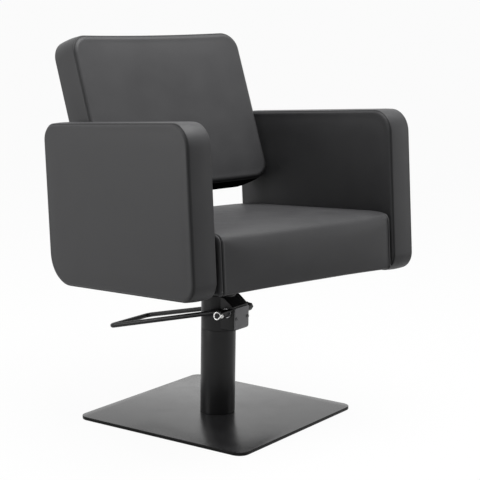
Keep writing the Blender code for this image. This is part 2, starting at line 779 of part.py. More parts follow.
def make_pedal():
    length = PEDAL_AXIS_REACH + PEDAL_REACH
    slope = math.tan(math.radians(PEDAL_SLOPE_DEG))
    root = PEDAL_ROOT_WIDTH / 2
    end = PEDAL_END_WIDTH / 2
    low = PEDAL_BAR_LIFT - slope * length
    corners = [
        (-root, 0, PEDAL_BAR_LIFT),
        (-end, length, low),
        (end, length, low),
        (root, 0, PEDAL_BAR_LIFT),
    ]
    route = rounded_path(corners, PEDAL_BEND_RADIUS)
    bar = tube_mesh("pedal_bar", route, PEDAL_BAR_RADIUS, BAR_RESOLUTION)
    pedal = place("pedal_bar", bar, "satin_black_paint", pedal_axes)
    outer = SHAFT_HALF
    inner = HUB_INNER
    hubs = [((side * inner, 0, 0), (side * outer, 0, 0), PEDAL_HUB_RADIUS) for side in (-1, 1)]
    for number, hub in enumerate(hubs):
        shape = rod_mesh(f"pedal_hub_{number + 1}", [hub], ROUND_STEPS)
        boolean(pedal, helper(f"pedal_hub_{number + 1}", shape, pedal_axes), "UNION")
    through = outer + OVERCUT
    bore = [((-through, 0, 0), (through, 0, 0), SHAFT_RADIUS + FIT_GAP)]
    boolean(pedal, helper("pedal_bore", rod_mesh("pedal_bore", bore, ROUND_STEPS), pedal_axes))
    spindle = SPRING_RADIUS - SPRING_WIRE_RADIUS - RUNNING_GAP
    spindle_end = spring_start() + spring_width() + SPRING_WIRE_RADIUS
    shaft = [
        (0, outer + SHAFT_NUT),
        (SHAFT_THREAD_RADIUS, outer + SHAFT_NUT),
        (SHAFT_THREAD_RADIUS, outer),
        (SHAFT_RADIUS, outer),
        (SHAFT_RADIUS, -outer),
        (spindle, -outer),
        (spindle, -spindle_end),
        (0, -spindle_end),
    ]
    crosswise = (0, math.radians(90), 0)
    turned("pedal_shaft", shaft, "plain_steel", pedal_axes, rotation=crosswise)
    nut_low = outer + FIT_GAP
    nut_hole = (SHAFT_THREAD_RADIUS + FIT_GAP) / math.cos(math.pi / HEXAGON_STEPS)
    nut = ring_profile(nut_hole, SHAFT_NUT_RADIUS, nut_low, nut_low + SHAFT_NUT)
    turned("shaft_nut", nut, "satin_black_paint", pedal_axes, HEXAGON_STEPS, True, rotation=crosswise)
    cheek = BOX_WIDTH / 2 + FIT_GAP
    for number, side in enumerate((-1, 1)):
        near = side * cheek
        far = side * (inner - FIT_GAP)
        hole = SHAFT_RADIUS + FIT_GAP
        washer = ring_profile(hole, SHAFT_WASHER_RADIUS, min(near, far), max(near, far))
        name = f"shaft_washer_{number + 1}"
        turned(name, washer, "plain_steel", pedal_axes, ring=True, rotation=crosswise)


def make_cam():
    """A hub with a round-ended finger that presses the plunger down."""
    root = math.asin(CAM_TIP_RADIUS / CAM_HUB_RADIUS)
    sweep = 2 * math.pi - 2 * root
    hub_turns = [root + sweep * k / SMALL_ROUND_STEPS for k in range(SMALL_ROUND_STEPS + 1)]
    tip_turns = [math.pi * (k / ARC_STEPS - 0.5) for k in range(ARC_STEPS + 1)]
    outline = [(CAM_HUB_RADIUS * math.cos(t), CAM_HUB_RADIUS * math.sin(t)) for t in hub_turns]
    outline += [(CAM_THROW + CAM_TIP_RADIUS * math.cos(t), CAM_TIP_RADIUS * math.sin(t)) for t in tip_turns]
    hole = circle(SHAFT_RADIUS + FIT_GAP, ROUND_STEPS)
    place("pump_cam", along_x("pump_cam", [outline, hole], CAM_THICKNESS), "plain_steel", pedal_axes)


def make_plunger():
    top = PEDAL_AXIS_HEIGHT - CAM_TIP_RADIUS - FIT_GAP
    bottom = top - PLUNGER_LENGTH
    profile = [
        (0, top),
        (PLUNGER_TIP_RADIUS, top),
        (PLUNGER_RADIUS, top - PLUNGER_TIP_HEIGHT),
        (PLUNGER_RADIUS, bottom),
        (0, bottom),
    ]
    turned("plunger", profile, "plain_steel", plunger_axes, SMALL_ROUND_STEPS)
    barrel_top = BOX_BOTTOM + BOX_FLOOR
    barrel = ring_profile(PLUNGER_RADIUS + FIT_GAP, BARREL_RADIUS, barrel_top - BARREL_LENGTH, barrel_top)
    under_cam = (0, -PLUNGER_REACH, 0)
    turned("pump_barrel", barrel, "plain_steel", base_axes, SMALL_ROUND_STEPS, True, location=under_cam)


def spring_start():
    """How far out along the shaft the first turn of the spring lies."""
    return SHAFT_HALF + SPRING_WIRE_RADIUS + RUNNING_GAP


def spring_sweep():
    """The angle from the leg under the pedal to the leg at the post."""
    return 2 * math.pi * SPRING_TURNS + math.radians(SPRING_LEG_RISE_DEG)


def spring_width():
    return SPRING_PITCH * spring_sweep() / (2 * math.pi)


def leg_line():
    """Start and direction of the fixed leg, in the plane across the shaft."""
    turn = -math.pi / 2 - spring_sweep()
    start = Vector((SPRING_RADIUS * math.cos(turn), SPRING_RADIUS * math.sin(turn)))
    return start, Vector((math.sin(turn), -math.cos(turn)))


def post_ends():
    """Ends of the post: in the cheek, and just past the spring's fixed leg."""
    start, onward = leg_line()
    aside = Vector((onward.y, -onward.x))
    at = start + onward * POST_ALONG_LEG + aside * (SPRING_WIRE_RADIUS + POST_RADIUS + FIT_GAP)
    y = at.x - PEDAL_AXIS_REACH
    z = at.y + PEDAL_AXIS_HEIGHT
    outer = spring_start() + spring_width() + 2 * SPRING_WIRE_RADIUS
    return Vector((POST_INSET - BOX_WIDTH / 2, y, z)), Vector((-outer, y, z))


def make_spring():
    slope = math.radians(PEDAL_SLOPE_DEG)
    under = PEDAL_BAR_LIFT - PEDAL_BAR_RADIUS / math.cos(slope) - FIT_GAP
    hook_y = (under + SPRING_RADIUS - SPRING_WIRE_RADIUS) / math.tan(slope)
    x = -spring_start()
    points = [Vector((x + SPRING_HOOK, hook_y, -SPRING_RADIUS)), Vector((x, hook_y, -SPRING_RADIUS))]
    count = round(SPRING_POINTS_PER_TURN * spring_sweep() / (2 * math.pi))
    for k in range(count + 1):
        turn = spring_sweep() * k / count
        across = -math.pi / 2 - turn
        y = SPRING_RADIUS * math.cos(across)
        z = SPRING_RADIUS * math.sin(across)
        points.append(Vector((x - SPRING_PITCH * turn / (2 * math.pi), y, z)))
    start, onward = leg_line()
    end = start + onward * SPRING_LEG
    points.append(Vector((points[-1].x, end.x, end.y)))
    print(f"least gap of the return spring to itself: {least_gap(points) * 1000:.2f} mm")
    wire = tube_mesh("return_spring", points, SPRING_WIRE_RADIUS, WIRE_RESOLUTION)
    place("return_spring", wire, "bright_zinc", spring_axes)
    post = rod_mesh("spring_post", [(*post_ends(), POST_RADIUS)], BOLT_STEPS)
    place("spring_post", post, "satin_black_paint", base_axes)


def least_gap(points):
    """Least clear distance between turns, leaving out neighbours along the wire."""
    apart = SPRING_POINTS_PER_TURN // 2
    pairs = ((a, b) for i, a in enumerate(points) for b in points[i + apart :])
    return min((a - b).length for a, b in pairs) - 2 * SPRING_WIRE_RADIUS


# Bolts


def bolt_profile(radius, length, head_radius, head):
    return [
        (0, head),
        (head_radius, head),
        (head_radius, 0),
        (radius, 0),
        (radius, -length),
        (0, -length),
    ]


def side_bolts(prefix, parent, spots, tip, pieces, pockets):
    """Bolts along X from inside each arm to a tip at this distance from the middle plane."""
    length = BOLT_SEAT - tip
    shape = profile_mesh(prefix, bolt_profile(BOLT_RADIUS, length, BOLT_HEAD_RADIUS, BOLT_HEAD))
    for hand, side in (("right", -1), ("left", 1)):
        holes = []
        sinks = []
        for number, (y, z) in enumerate(spots):
            at = (side * (BOLT_SEAT + FIT_GAP), y, z)
            turn = (0, side * math.radians(90), 0)
            bolt = place(f"{hand}_{prefix}_{number + 1}", shape, "plain_steel", parent, at, turn)
            screw(bolt, BOLT_STEPS)
            low = (side * (tip - FIT_GAP), y, z)
            high = (side * (BOLT_SEAT + FIT_GAP), y, z)
            holes.append((low, high, BOLT_RADIUS + FIT_GAP))
            out = (side * (BOLT_SEAT + BOLT_HEAD_SINK + SHORT_OVERCUT), y, z)
            sinks.append(((side * BOLT_SEAT, y, z), out, BOLT_HEAD_RADIUS + BOLT_POCKET_MARGIN))
        cutter_name = f"{hand}_{prefix}_holes"
        cutter = helper(cutter_name, rod_mesh(cutter_name, holes, BOLT_STEPS), parent)
        for piece in pieces[hand]:
            boolean(piece, cutter)
        sink_name = f"{hand}_{prefix}_pockets"
        sink = helper(sink_name, rod_mesh(sink_name, sinks, BOLT_STEPS), parent)
        boolean(pockets[hand], sink)


def bracket_bolts(bracket, frame):
    length = BRACKET_PLATE + FIT_GAP + BOLT_GRIP
    shape = profile_mesh("bracket_bolt", bolt_profile(BOLT_RADIUS, length, BOLT_HEAD_RADIUS, BOLT_HEAD))
    half = BRACKET_BOLT_SPACING / 2
    under = -2 * FIT_GAP - BRACKET_PLATE
    holes = []
    for number, (x, y) in enumerate(((-half, -half), (half, -half), (half, half), (-half, half))):
        flipped = (math.radians(180), 0, 0)
        bolt = place(f"bracket_bolt_{number + 1}", shape, "plain_steel", tub_axes, (x, y, under), flipped)
        screw(bolt, BOLT_STEPS)
        holes.append(((x, y, under - OVERCUT), (x, y, under + length + FIT_GAP), BOLT_RADIUS + FIT_GAP))
    cutter = helper("bracket_bolt_holes", rod_mesh("bracket_bolt_holes", holes, BOLT_STEPS), tub_axes)
    boolean(bracket, cutter)
    boolean(frame, cutter)


# Seat


def seat_ring(x):
    """The seat's side outline at one place across it, with crown and bulge."""
    half = SEAT_WIDTH / 2
    inset = rounding_inset(SEAT_SIDE_ROUNDING, half - abs(x))
    radii = [
        max(radius - inset, SEAT_LEAST_RADIUS)
        for radius in (SEAT_HEM_RADIUS, SEAT_HEM_RADIUS, SEAT_REAR_RADIUS, SEAT_FRONT_RADIUS)
    ]
    corners = rectangle(inset - SEAT_FRONT, SEAT_REAR - inset, inset, SEAT_HEIGHT - inset, radii)
    fullness = 1 - (x / half) ** 2
    middle = (SEAT_REAR - SEAT_FRONT) / 2
    ring = []
    for y, z in rounded_outline(corners, RUN_STEPS):
        back = (y - middle) / ((SEAT_REAR + SEAT_FRONT) / 2)
        up = 2 * z / SEAT_HEIGHT - 1
        z += SEAT_CROWN * fullness * (1 - back**2) * max(0.0, up)
        y -= SEAT_BULGE * fullness * (1 - up**2) * max(0.0, -back) ** 2
        ring.append((x, y, z))
    return ring


def across_stations(half, rounding):
    """Places from one side of a cushion to the other, close together at its rounded edges."""
    edge = half - rounding
    turns = [math.pi / 2 * k / EDGE_STEPS for k in range(EDGE_STEPS + 1)]
    right = [edge + rounding * math.sin(turn) for turn in reversed(turns)]
    right += [edge * share for share in SEAT_STATIONS]
    return right + [-x for x in reversed(right)]


def make_seat():
    stations = across_stations(SEAT_WIDTH / 2, SEAT_SIDE_ROUNDING)
    shape = loft_mesh("seat_cushion", [seat_ring(x) for x in stations])
    cushion = place("seat_cushion", shape, "black_vinyl", tub_axes)
    front = SEAT_FRONT_PAD - SEAT_FRONT
    rear = SEAT_REAR - SEAT_REAR_PAD
    half = SEAT_FRAME_HALF
    frame_box = ((-half, half), (front, rear), (0, SEAT_FRAME_HEIGHT))
    frame = place("seat_frame", box_mesh("seat_frame", [frame_box]), "plywood", tub_axes)
    cross = BRACKET_BOLT_SPACING / 2
    rail = SEAT_CROSS_RAIL / 2
    side_bay = (cross + rail, half - SEAT_RAIL)
    spans = ((-side_bay[1], -side_bay[0]), (rail - cross, cross - rail), side_bay)
    depth = (-OVERCUT, SEAT_FRAME_HEIGHT - SEAT_BOARD)
    bays = [(span, (front + SEAT_RAIL, rear - SEAT_RAIL), depth) for span in spans]
    boolean(frame, helper("seat_frame_bays", box_mesh("seat_frame_bays", bays), tub_axes))
    grown = [(low - FIT_GAP, high + FIT_GAP) for low, high in frame_box[:2]]
    pocket = (*grown, (-OVERCUT, SEAT_FRAME_HEIGHT + FIT_GAP))
    boolean(cushion, helper("seat_pocket", box_mesh("seat_pocket", [pocket]), tub_axes))
    lap = DUST_COVER_LAP
    lining_corners = rectangle(-half - lap, half + lap, front - lap, rear + lap, BRACKET_CORNER_RADIUS)
    cutout = square(BRACKET_SIDE + 2 * BRACKET_CUTOUT_MARGIN, BRACKET_CORNER_RADIUS)
    lining = plate_mesh("dust_cover", [rounded_outline(lining_corners), rounded_outline(cutout)], DUST_COVER)
    place("dust_cover", lining, "black_lining", tub_axes, (0, 0, -FIT_GAP - DUST_COVER / 2))
    return cushion, frame


# Arms


def arm_radii(inset):
    radii = (ARM_FRONT_BOTTOM_RADIUS, ARM_REAR_BOTTOM_RADIUS, ARM_REAR_TOP_RADIUS, ARM_FRONT_TOP_RADIUS)
    return [max(radius - inset, ARM_EDGE_ROUNDING) for radius in radii]


def arm_corners(inset):
    rear = ARM_DEPTH - ARM_FRONT - inset
    top = ARM_HEIGHT - ARM_DROP - inset
    return rectangle(inset - ARM_FRONT, rear, inset - ARM_DROP, top, arm_radii(inset))


def arm_ring(x, inset):
    return [(x, y, z) for y, z in rounded_outline(arm_corners(inset), ARM_RUN_STEPS)]


def arm_cover_mesh(name):
    """Side panels with a crown, joined to a swelling band by a rounded edge."""
    edge = ARM_THICKNESS / 2 - ARM_CROWN
    rings = []
    for inset in [ARM_CROWN_REACH * share for share in CROWN_STATIONS]:
        fall = 1 - (inset - ARM_EDGE_ROUNDING) / (ARM_CROWN_REACH - ARM_EDGE_ROUNDING)
        rings.append((edge + ARM_CROWN * (1 - fall**2), inset))
    for k in range(EDGE_STEPS, -1, -1):
        lean = math.pi / 2 * k / EDGE_STEPS
        depth = edge - ARM_EDGE_ROUNDING * (1 - math.sin(lean))
        rings.append((depth, ARM_EDGE_ROUNDING * (1 - math.cos(lean))))
    middle = [(0, -ARM_BAND_SWELL)]
    stations = rings + middle + [(-x, inset) for x, inset in reversed(rings)]
    return loft_mesh(name, [arm_ring(x, inset) for x, inset in stations])


def arm_core_outline(grow, foot_bottom):
    """The core with its foot, grown by a clearance for the cover's hollow."""
    corners = arm_corners(ARM_PAD - grow)
    floor = corners[0][1]
    middle = (corners[0][0] + corners[1][0]) / 2
    half = ARM_FOOT_LENGTH / 2 + grow
    foot = [
        (middle - half, floor, 0),
        (middle - half, foot_bottom, 0),
        (middle + half, foot_bottom, 0),
        (middle + half, floor, 0),
    ]
    return rounded_outline([corners[0], *foot, *corners[1:]])


def back_bolt_places():
    """The back's bolts as (depth, height) in its own axes."""
    return [(BACK_BOLT_DEPTH, BACK_BOLT_LOW + k * BACK_BOLT_SPACING) for k in range(2)]


def make_arm(hand, side):
    at = (side * ARM_CENTRE, 0, 0)
    cover = place(f"{hand}_arm_cover", arm_cover_mesh(f"{hand}_arm_cover"), "black_vinyl", tub_axes, at)
    hollow_outline = arm_core_outline(FIT_GAP, -ARM_DROP - OVERCUT)
    hollow = along_x(f"{hand}_arm_hollow", [hollow_outline], ARM_CORE + 2 * FIT_GAP)
    boolean(cover, helper(f"{hand}_arm_hollow", hollow, tub_axes, at))
    outer = arm_core_outline(0, ARM_FOOT_LIFT - ARM_DROP)
    rake = math.radians(BACK_RAKE_DEG)
    nearest = min(depth * math.cos(rake) + height * math.sin(rake) for depth, height in back_bolt_places())
    window_rear = BACK_SETBACK + nearest - ARM_WINDOW_MARGIN
    core = arm_corners(ARM_PAD)
    window = rectangle(
        core[0][0] + ARM_RAIL,
        window_rear,
        core[0][1] + ARM_RAIL,
        core[2][1] - ARM_RAIL,
        ARM_WINDOW_RADIUS,
    )
    shape = along_x(f"{hand}_arm_frame", [outer, rounded_outline(window)], ARM_CORE)
    return cover, place(f"{hand}_arm_frame", shape, "plywood", tub_axes, at)


# Back


def back_bend(x):
    """How far the curve of the back sets this place behind its side edges."""
    return BACK_BEND * (1 - (2 * x / BACK_WIDTH) ** 2)


def back_levels(corner_radius, low, high):
    """Heights up the back with the amount the sides draw in there."""
    turns = [math.pi / 2 * k / BACK_CORNER_STEPS for k in range(BACK_CORNER_STEPS + 1)]
    ends = [(corner_radius * (1 - math.cos(t)), corner_radius * (1 - math.sin(t))) for t in turns]
    span = high - low - 2 * corner_radius
    levels = [(low + rise, draw) for rise, draw in ends]
    levels += [(low + corner_radius + span * k / BACK_RISE_STEPS, 0.0) for k in range(1, BACK_RISE_STEPS)]
    return levels + [(high - rise, draw) for rise, draw in reversed(ends)]


def back_ring(level, half, front, rear, radius, crown):
    """One cut across the back: a rounded strip that follows its bend."""
    corners = rectangle(-half, half, front, rear, radius)
    across = 2 * level / BACK_HEIGHT - 1
    ring = []
    for x, depth in rounded_outline(corners, RUN_STEPS):
        fullness = (1 - (2 * x / BACK_WIDTH) ** 2) * (1 - across**2)
        y = depth + back_bend(x) - crown * fullness * (1 - depth / BACK_THICKNESS)
        z = level + BACK_TOP_RISE * depth / BACK_THICKNESS * (level / BACK_HEIGHT) ** BACK_RISE_POWER
        ring.append((x, y, z))
    return ring


def back_cushion_mesh():
    rings = []
    for level, draw in back_levels(BACK_CORNER_RADIUS, 0, BACK_HEIGHT):
        inset = rounding_inset(BACK_EDGE_ROUNDING, min(level, BACK_HEIGHT - level))
        radius = BACK_EDGE_ROUNDING - inset / 2
        half = BACK_WIDTH / 2 - draw
        rings.append(back_ring(level, half, inset, BACK_THICKNESS - inset, radius, BACK_CROWN))
    return loft_mesh("back_cushion", rings)


def board_outline(grow):
    half = BACK_BOARD_HALF + grow
    low = BACK_WALL - grow
    radius = BACK_CORNER_RADIUS - BACK_WALL + grow
    return rounded_outline(rectangle(-half, half, low, BACK_HEIGHT - low, radius))


def back_panel_mesh():
    front = BACK_FOAM + BACK_BOARD + FIT_GAP
    rear = BACK_THICKNESS - PANEL_RECESS
    levels = back_levels(BACK_CORNER_RADIUS - BACK_WALL, BACK_WALL, BACK_HEIGHT - BACK_WALL)
    rings = []
    for level, draw in levels:
        half = BACK_BOARD_HALF - draw
        ring = []
        for x, depth in rounded_outline(rectangle(-half, half, front, rear, PANEL_ROUNDING), RUN_STEPS):
            toward_rear = (depth - front) / (rear - front)
            ring.append((x, depth + back_bend(x) * toward_rear, level))
        rings.append(ring)
    return loft_mesh("back_panel", rings)


def make_back():
    cushion = place("back_cushion", back_cushion_mesh(), "black_vinyl", back_axes)
    depth = BACK_THICKNESS + BACK_BEND + OVERCUT - BACK_FOAM
    upright = (math.radians(90), 0, 0)
    pocket = plate_mesh("back_pocket", [board_outline(FIT_GAP)], depth)
    pocket_lies = (0, BACK_FOAM - FIT_GAP + depth / 2, 0)
    boolean(cushion, helper("back_pocket", pocket, back_axes, pocket_lies, upright))
    board_shape = plate_mesh("back_board", [board_outline(0)], BACK_BOARD)
    board = place("back_board", board_shape, "plywood", back_axes, (0, BACK_BOLT_DEPTH, 0), upright)
    place("back_panel", back_panel_mesh(), "black_vinyl", back_axes)
    near = BACK_WIDTH / 2 + FIT_GAP
    far = ARM_INNER - FIT_GAP
    for hand, side in (("right", -1), ("left", 1)):
        for number, (y, z) in enumerate(back_bolt_places()):
            spacer = ring_profile(BOLT_RADIUS + FIT_GAP, SPACER_RADIUS, near, far)
            lies = {"location": (0, y, z), "rotation": (0, side * math.radians(90), 0)}
            name = f"{hand}_back_spacer_{number + 1}"
            turned(name, spacer, "black_rubber", back_axes, SMALL_ROUND_STEPS, True, **lies)
    return cushion, board


clear_scene()
parts = new_collection("hairdressing_chair")
cutters = new_collection("cutters")
materials = {name: new_material(name) for name in MATERIALS}

# The base stands turned under the chair; the tub leans back, and the back leans further
base_axes = axes("base_axes", rotation=(0, 0, math.radians(BASE_TURN_DEG)))
lift_axes = axes("lift_axes")
chair_axes = axes("chair_axes", lift_axes)
tub_axes = axes("tub_axes", chair_axes, (0, 0, SEAT_UNDERSIDE), (-math.radians(TUB_TILT_DEG), 0, 0))
back_axes = axes("back_axes", tub_axes, (0, BACK_SETBACK, BACK_LIFT), (-math.radians(BACK_RAKE_DEG), 0, 0))
pedal_axes = axes("pedal_axes", base_axes, (0, -PEDAL_AXIS_REACH, PEDAL_AXIS_HEIGHT))
spring_axes = axes("spring_axes", base_axes, (0, -PEDAL_AXIS_REACH, PEDAL_AXIS_HEIGHT))
plunger_axes = axes("plunger_axes", base_axes, (0, -PLUNGER_REACH, 0))

make_floor_plate()
pump_head = make_pump_head()
make_cover(pump_head)
make_cylinder()
seat_bracket = make_ram(make_piston())
make_pedal()
make_cam()
make_plunger()
make_spring()
seat_cushion, seat_frame = make_seat()
bracket_bolts(seat_bracket, seat_frame)
back_cushion, back_board = make_back()
arm_covers = {}
arm_frames = {}
for hand, side in (("right", -1), ("left", 1)):
    arm_covers[hand], arm_frames[hand] = make_arm(hand, side)

arm_bolt_spots = [(-ARM_BOLT_FRONT, ARM_BOLT_LIFT), (ARM_BOLT_REAR, ARM_BOLT_LIFT)]
seat_side = {hand: (arm_covers[hand], arm_frames[hand], seat_cushion, seat_frame) for hand in arm_frames}
back_side = {hand: (arm_covers[hand], arm_frames[hand], back_cushion, back_board) for hand in arm_frames}
side_bolts("arm_bolt", tub_axes, arm_bolt_spots, SEAT_FRAME_HALF - BOLT_GRIP, seat_side, arm_frames)
side_bolts("back_bolt", back_axes, back_bolt_places(), BACK_BOARD_HALF - BOLT_GRIP, back_side, arm_frames)
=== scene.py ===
import math

import bpy
import numpy as np
from mathutils import Matrix, Vector


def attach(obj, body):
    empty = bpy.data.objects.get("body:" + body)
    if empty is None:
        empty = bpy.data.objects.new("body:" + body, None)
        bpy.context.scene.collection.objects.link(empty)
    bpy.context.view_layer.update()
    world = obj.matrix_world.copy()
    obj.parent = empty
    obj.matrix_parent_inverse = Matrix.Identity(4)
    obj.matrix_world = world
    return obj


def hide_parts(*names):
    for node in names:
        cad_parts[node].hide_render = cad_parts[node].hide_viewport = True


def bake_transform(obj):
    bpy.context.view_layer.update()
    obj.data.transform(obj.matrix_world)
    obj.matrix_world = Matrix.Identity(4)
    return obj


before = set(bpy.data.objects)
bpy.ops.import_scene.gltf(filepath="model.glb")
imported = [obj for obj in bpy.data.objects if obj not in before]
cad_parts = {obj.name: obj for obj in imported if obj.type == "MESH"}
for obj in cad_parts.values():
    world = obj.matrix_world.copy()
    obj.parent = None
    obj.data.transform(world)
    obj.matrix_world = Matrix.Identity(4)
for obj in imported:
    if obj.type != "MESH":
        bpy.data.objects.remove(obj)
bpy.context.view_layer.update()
scene = bpy.context.scene
scene.view_settings.view_transform = "Standard"
for startObject in ("Cube", "Light", "Camera"):
    if startObject in bpy.data.objects:
        bpy.data.objects.remove(bpy.data.objects[startObject], do_unlink=True)
print("frame loaded with", len(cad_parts), "nodes")

# where the chair's pieces stand: base turned under it, tub leaning back, back leaning further
stance = {
    "baseTurn": 15,
    "pedalAt": (0, -0.046, 0.2505),  # the pedal's shaft, in the base's axes
    "tubAt": (0, 0, 0.337),
    "tubLean": -4.9,
    "backAt": (0, 0.0833, 0.1964),  # in the tub's axes
    "backLean": -17.15,
}
shifted = Matrix.Translation


def turned(angle, axis):
    return Matrix.Rotation(math.radians(angle), 4, axis)


baseAxes = turned(stance["baseTurn"], "Z")
shaftAxes = shifted(stance["pedalAt"])
pedalAxes = baseAxes @ shaftAxes
tubAxes = shifted(stance["tubAt"]) @ turned(stance["tubLean"], "X")
backAxes = tubAxes @ shifted(stance["backAt"]) @ turned(stance["backLean"], "X")
alongX = turned(90, "Y")

photoCamera = {
    "place": (-2.05858, -2.50286, 0.99047),
    "yaw": 0.70264,
    "pitch": -0.17775,
    "roll": 0.0143,
    "lens": 108.97,
    "sensor": 36,
    "farthest": 100,
}


def setCamera(s):
    bpy.ops.object.camera_add(location=s["place"])
    camera = bpy.context.object
    camera.name = "photoCamera"
    yaw = s["yaw"]
    pitch = s["pitch"]
    level = math.cos(pitch)
    ahead = Vector((math.sin(yaw) * level, math.cos(yaw) * level, math.sin(pitch)))
    turn = ahead.to_track_quat("-Z", "Y").to_matrix() @ Matrix.Rotation(s["roll"], 3, "Z")
    camera.rotation_euler = turn.to_euler()
    camera.data.sensor_width = s["sensor"]
    camera.data.lens = s["lens"]
    camera.data.clip_end = s["farthest"]
    scene.camera = camera


setCamera(photoCamera)
print("camera set")


# small helpers for modelling

samePlace = 1e-5  # metres within which two places count as one
weldReach = 1e-6
overcut = 0.01  # how far a cutter goes past a face
cutterTop = 0.4  # higher than anything bored along the column
cutterSide = 0.1  # further out than anything bored along the pedal's shaft
tiny = 1e-9  # keeps a divisor from being nothing


def pickNone():
    bpy.ops.object.select_all(action="DESELECT")


def applyPlace():  # of the object just added
    bpy.ops.object.transform_apply(location=True, rotation=True, scale=True)


def pickOnly(piece):
    pickNone()
    piece.select_set(True)
    bpy.context.view_layer.objects.active = piece


def choose(piece, kind, test):  # selects by place and stays in edit mode
    pickOnly(piece)
    mesh = piece.data
    for group in (mesh.vertices, mesh.edges, mesh.polygons):
        group.foreach_set("select", [False] * len(group))
    for item in getattr(mesh, kind):
        item.select = test(mesh, item)
    scene.tool_settings.mesh_select_mode = (kind == "vertices", kind == "edges", kind == "polygons")
    bpy.ops.object.mode_set(mode="EDIT")


def chooseAll(piece):
    pickOnly(piece)
    scene.tool_settings.mesh_select_mode = (True, False, False)
    bpy.ops.object.mode_set(mode="EDIT")
    bpy.ops.mesh.select_all(action="SELECT")


def leave():
    bpy.ops.object.mode_set(mode="OBJECT")


def ends(mesh, edge):
    return [mesh.vertices[i].co for i in edge.vertices]


def edgeAt(**where):  # an edge whose two ends lie at these places
    axes = {"x": 0, "y": 1, "z": 2}

    def test(mesh, edge):
        both = ends(mesh, edge)
        return all(abs(end[axes[key]] - value) < samePlace for end in both for key, value in where.items())

    return test


def roundEdges(piece, test, radius, steps):
    choose(piece, "edges", test)
    bpy.ops.mesh.bevel(offset=radius, segments=steps, profile=0.5, affect="EDGES")
    leave()


def roundCorners(piece, low, high, plane, radii, steps):  # four edges across a plane, one radius or one each
    across, up = plane
    for i, j in ((0, 0), (0, 1), (1, 0), (1, 1)):
        where = {"xyz"[across]: (low, high)[i][across], "xyz"[up]: (low, high)[j][up]}
        roundEdges(piece, edgeAt(**where), float(np.broadcast_to(radii, (2, 2))[i, j]), steps)


def facesUp(mesh, face):
    return face.normal.z > 0.9


def push(step):  # draws out what is selected
    bpy.ops.mesh.extrude_region_move(TRANSFORM_OT_translate={"value": step})


def addBox(name, low, high):
    pickNone()
    middle = [(a + b) / 2 for a, b in zip(low, high)]
    size = [b - a for a, b in zip(low, high)]
    bpy.ops.mesh.primitive_cube_add(size=1, location=middle, scale=size)
    applyPlace()
    return named(bpy.context.object, name)


def addRound(name, radius, low, high, steps=96, edge=0.0, edgeSteps=3):
    pickNone()
    middle = (0, 0, (low + high) / 2)
    bpy.ops.mesh.primitive_cylinder_add(vertices=steps, radius=radius, depth=high - low, location=middle)
    applyPlace()
    piece = named(bpy.context.object, name)
    if edge:
        rims = (edgeAt(z=low), edgeAt(z=high))
        roundEdges(piece, lambda mesh, item: any(rim(mesh, item) for rim in rims), edge, edgeSteps)
    return piece


def named(piece, name):
    piece.name = name
    piece.data.name = name
    return piece


def settle(piece, place):  # the place goes into the mesh, the object stays at the origin
    piece.data.transform(place)
    piece.data.update()


def combine(piece, other, operation):
    pickOnly(piece)
    cut = piece.modifiers.new("combine", "BOOLEAN")
    cut.operation = operation
    cut.object = other
    cut.solver = "EXACT"
    bpy.ops.object.modifier_apply(modifier=cut.name)
    bpy.data.objects.remove(other, do_unlink=True)


def carve(piece, cutter):
    combine(piece, cutter, "DIFFERENCE")


def smooth(piece, angle=35):
    pickOnly(piece)
    bpy.ops.object.shade_smooth_by_angle(angle=math.radians(angle))


def coords(piece, what="co"):  # or "normal"
    found = np.empty(len(piece.data.vertices) * 3)
    piece.data.vertices.foreach_get(what, found)
    return found.reshape(-1, 3)


def setCoords(piece, places):
    piece.data.vertices.foreach_set("co", np.ascontiguousarray(places, dtype=np.float32).ravel())
    piece.data.update()


def darken(piece, name, amount):  # painted shade, for the finishes that read this attribute
    shade = piece.data.attributes.get(name) or piece.data.attributes.new(name, "FLOAT", "POINT")
    dark = np.empty(len(amount), dtype=np.float32)
    shade.data.foreach_get("value", dark)
    shade.data.foreach_set("value", np.maximum(dark, amount).astype(np.float32))


def finishPiece(piece, finish, slot, body, *nodes):
    piece.data.materials.clear()
    piece.data.materials.append(finish)
    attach(piece, body)
    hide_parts(*nodes)


# finishes

patternRange = (0.3, 0.7)  # where most of a noise pattern lies

vinylLook = {
    "low": (0.0285, 0.0285, 0.0296),
    "high": (0.0325, 0.0325, 0.0336),
    "roughness": (0.40, 0.50),
    "specular": 0.16,
    "cloud": (16, 4.0),  # scale and detail of a noise, here and below
    "grain": 700,  # pebbles per metre
    "crease": 0.22,  # width of the line between pebbles
    "warp": (260, 2.0),
    "warpReach": 0.0011,
    "undulation": (42, 2.0),
    "fine": (2600, 2.0),
    "waveBump": (0.05, 0.003),  # strength and depth, here and below
    "creaseBump": (0.28, 0.00022),
    "fineBump": (0.10, 0.0001),
    # painted shade, dark and without sheen, in the seams and on the back's underside
    "shade": {"attribute": "seamShade", "colour": (0.004, 0.004, 0.004), "specular": 0.0},
}
paintLook = {
    "low": (0.0065, 0.0065, 0.0070),
    "high": (0.0110, 0.0110, 0.0115),
    "roughness": (0.30, 0.40),
    "specular": 0.22,
    "cloud": (22, 5.0),
    "peel": (900, 2.0),
    "bump": (0.10, 0.00025),
}
plateLook = {
    **paintLook,
    "low": (0.018, 0.018, 0.019),
    "high": (0.028, 0.028, 0.029),
    "roughness": (0.20, 0.27),
    "specular": 0.80,
    "peel": (700, 2.0),
    "bump": (0.03, 0.00025),
    # painted shade on the plate's rim, darker and duller than its top
    "shade": {"attribute": "rimShade", "colour": (0.008, 0.008, 0.008), "specular": 0.08},
}
greyLook = {
    **paintLook,
    "low": (0.105, 0.105, 0.11),
    "high": (0.13, 0.13, 0.135),
    "roughness": (0.36, 0.46),
    "specular": 0.4,
}
